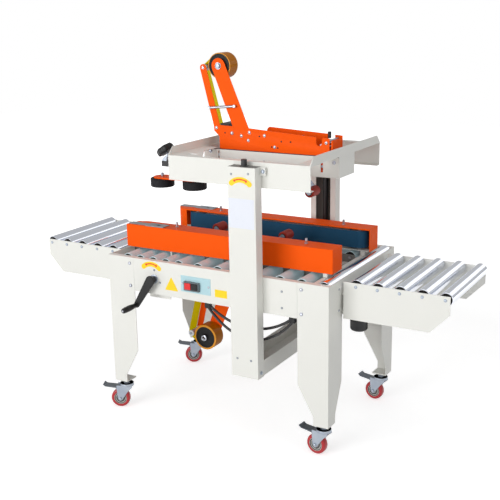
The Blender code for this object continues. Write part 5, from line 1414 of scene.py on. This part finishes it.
def floor_material():
    made = bpy.data.materials.new("studio_floor")
    made.use_nodes = True
    tree = made.node_tree
    tree.nodes.clear()
    out = tree.nodes.new("ShaderNodeOutputMaterial")
    place = node(tree, "ShaderNodeTexCoord").outputs["Object"]
    tone = noise(tree, place, 6.0, 3.0)
    colour = tinted(tree, ramp(tree, tone, 0.3, 0.7, 0.0, 1.0), (0.80, 0.80, 0.80, 1), (0.82, 0.82, 0.82, 1))
    diffuse = node(tree, "ShaderNodeBsdfDiffuse", {"Color": colour}).outputs[0]
    ray = node(tree, "ShaderNodeLightPath").outputs
    seen = maths(tree, "MAXIMUM", ray["Is Camera Ray"], ray["Is Glossy Ray"])
    seen = maths(tree, "MAXIMUM", seen, ray["Is Transmission Ray"])
    distance = node(tree, "ShaderNodeVectorMath", {0: place}, operation="LENGTH").outputs["Value"]
    glow = ramp(tree, distance, 1.6, 4.0, FLOOR_GLOW, 1.0)
    strength = maths(tree, "MULTIPLY", seen, glow)
    light = node(tree, "ShaderNodeEmission", {"Color": (1, 1, 1, 1), "Strength": strength}).outputs[0]
    both_ways = tree.nodes.new("ShaderNodeAddShader")
    tree.links.new(diffuse, both_ways.inputs[0])
    tree.links.new(light, both_ways.inputs[1])
    tree.links.new(both_ways.outputs[0], out.inputs[0])
    return made


floor_mesh.materials.append(floor_material())

AMBIENT = 0.41              # what the surroundings give to paint
MIRRORED = 0.23             # how much of the white surroundings metal shows
world = bpy.data.worlds.new("studio")
bpy.context.scene.world = world
world.use_nodes = True
sky = world.node_tree
backdrop = sky.nodes["Background"]
ray = node(sky, "ShaderNodeLightPath").outputs
shown = maths(sky, "MAXIMUM", ray["Is Camera Ray"], ray["Is Transmission Ray"])
shown = maths(sky, "MAXIMUM", shown, maths(sky, "MULTIPLY", ray["Is Glossy Ray"], MIRRORED))
backdrop.inputs["Color"].default_value = (1, 1, 1, 1)
sky.links.new(ramp(sky, shown, 0.0, 1.0, AMBIENT, 1.0), backdrop.inputs["Strength"])


def softbox(name, place, target, width, height, power, lights_paint=True):
    """A soft rectangular lamp that looks at a target; one that doesn't light paint only shows in metal."""
    lamp = bpy.data.lights.new(name, "AREA")
    lamp.shape = "RECTANGLE"
    lamp.size = width
    lamp.size_y = height
    lamp.energy = power
    thing = bpy.data.objects.new(name, lamp)
    bpy.context.scene.collection.objects.link(thing)
    thing.location = place
    thing.rotation_euler = (Vector(target) - Vector(place)).to_track_quat("-Z", "Y").to_euler()
    thing.visible_diffuse = lights_paint
    thing.visible_camera = False
    return thing


softbox("key_light", (-1.9, -6.4, 2.2), (0, 0, 0.65), 4.2, 2.8, 232)
softbox("top_light", (0.2, -0.6, 4.2), (0, 0, 0.6), 3.0, 3.0, 19)
softbox("side_light", (4.2, -1.2, 1.8), (0, 0, 0.8), 2.0, 2.0, 12)
softbox("fill_light", (3.0, -5.6, 2.4), (0, 0, 0.8), 2.4, 2.0, 34)
softbox("rear_card", (2.05, 3.6, 2.2), (0.3, 0, 0.7), 2.8, 1.25, 9.5, False)

CAMERA_PLACE = (1.7967, -3.04235, 1.6374)
CAMERA_AZIMUTH, CAMERA_ELEVATION, CAMERA_ROLL = 30.39, 15.13, -1.01
lens = bpy.data.cameras.new("studio_camera")
lens.lens = 65.35
lens.sensor_width = 36.0
lens.sensor_fit = "HORIZONTAL"
camera = bpy.data.objects.new("studio_camera", lens)
bpy.context.scene.collection.objects.link(camera)
aim = (Matrix.Rotation(math.radians(CAMERA_AZIMUTH), 4, "Z")
       @ Matrix.Rotation(math.radians(90 - CAMERA_ELEVATION), 4, "X")
       @ Matrix.Rotation(math.radians(CAMERA_ROLL), 4, "Z"))
camera.matrix_world = Matrix.Translation(Vector(CAMERA_PLACE)) @ aim
bpy.context.scene.camera = camera
bpy.context.scene.view_settings.view_transform = "Standard"

for spare in PLACES:
    bpy.data.materials.remove(spare)
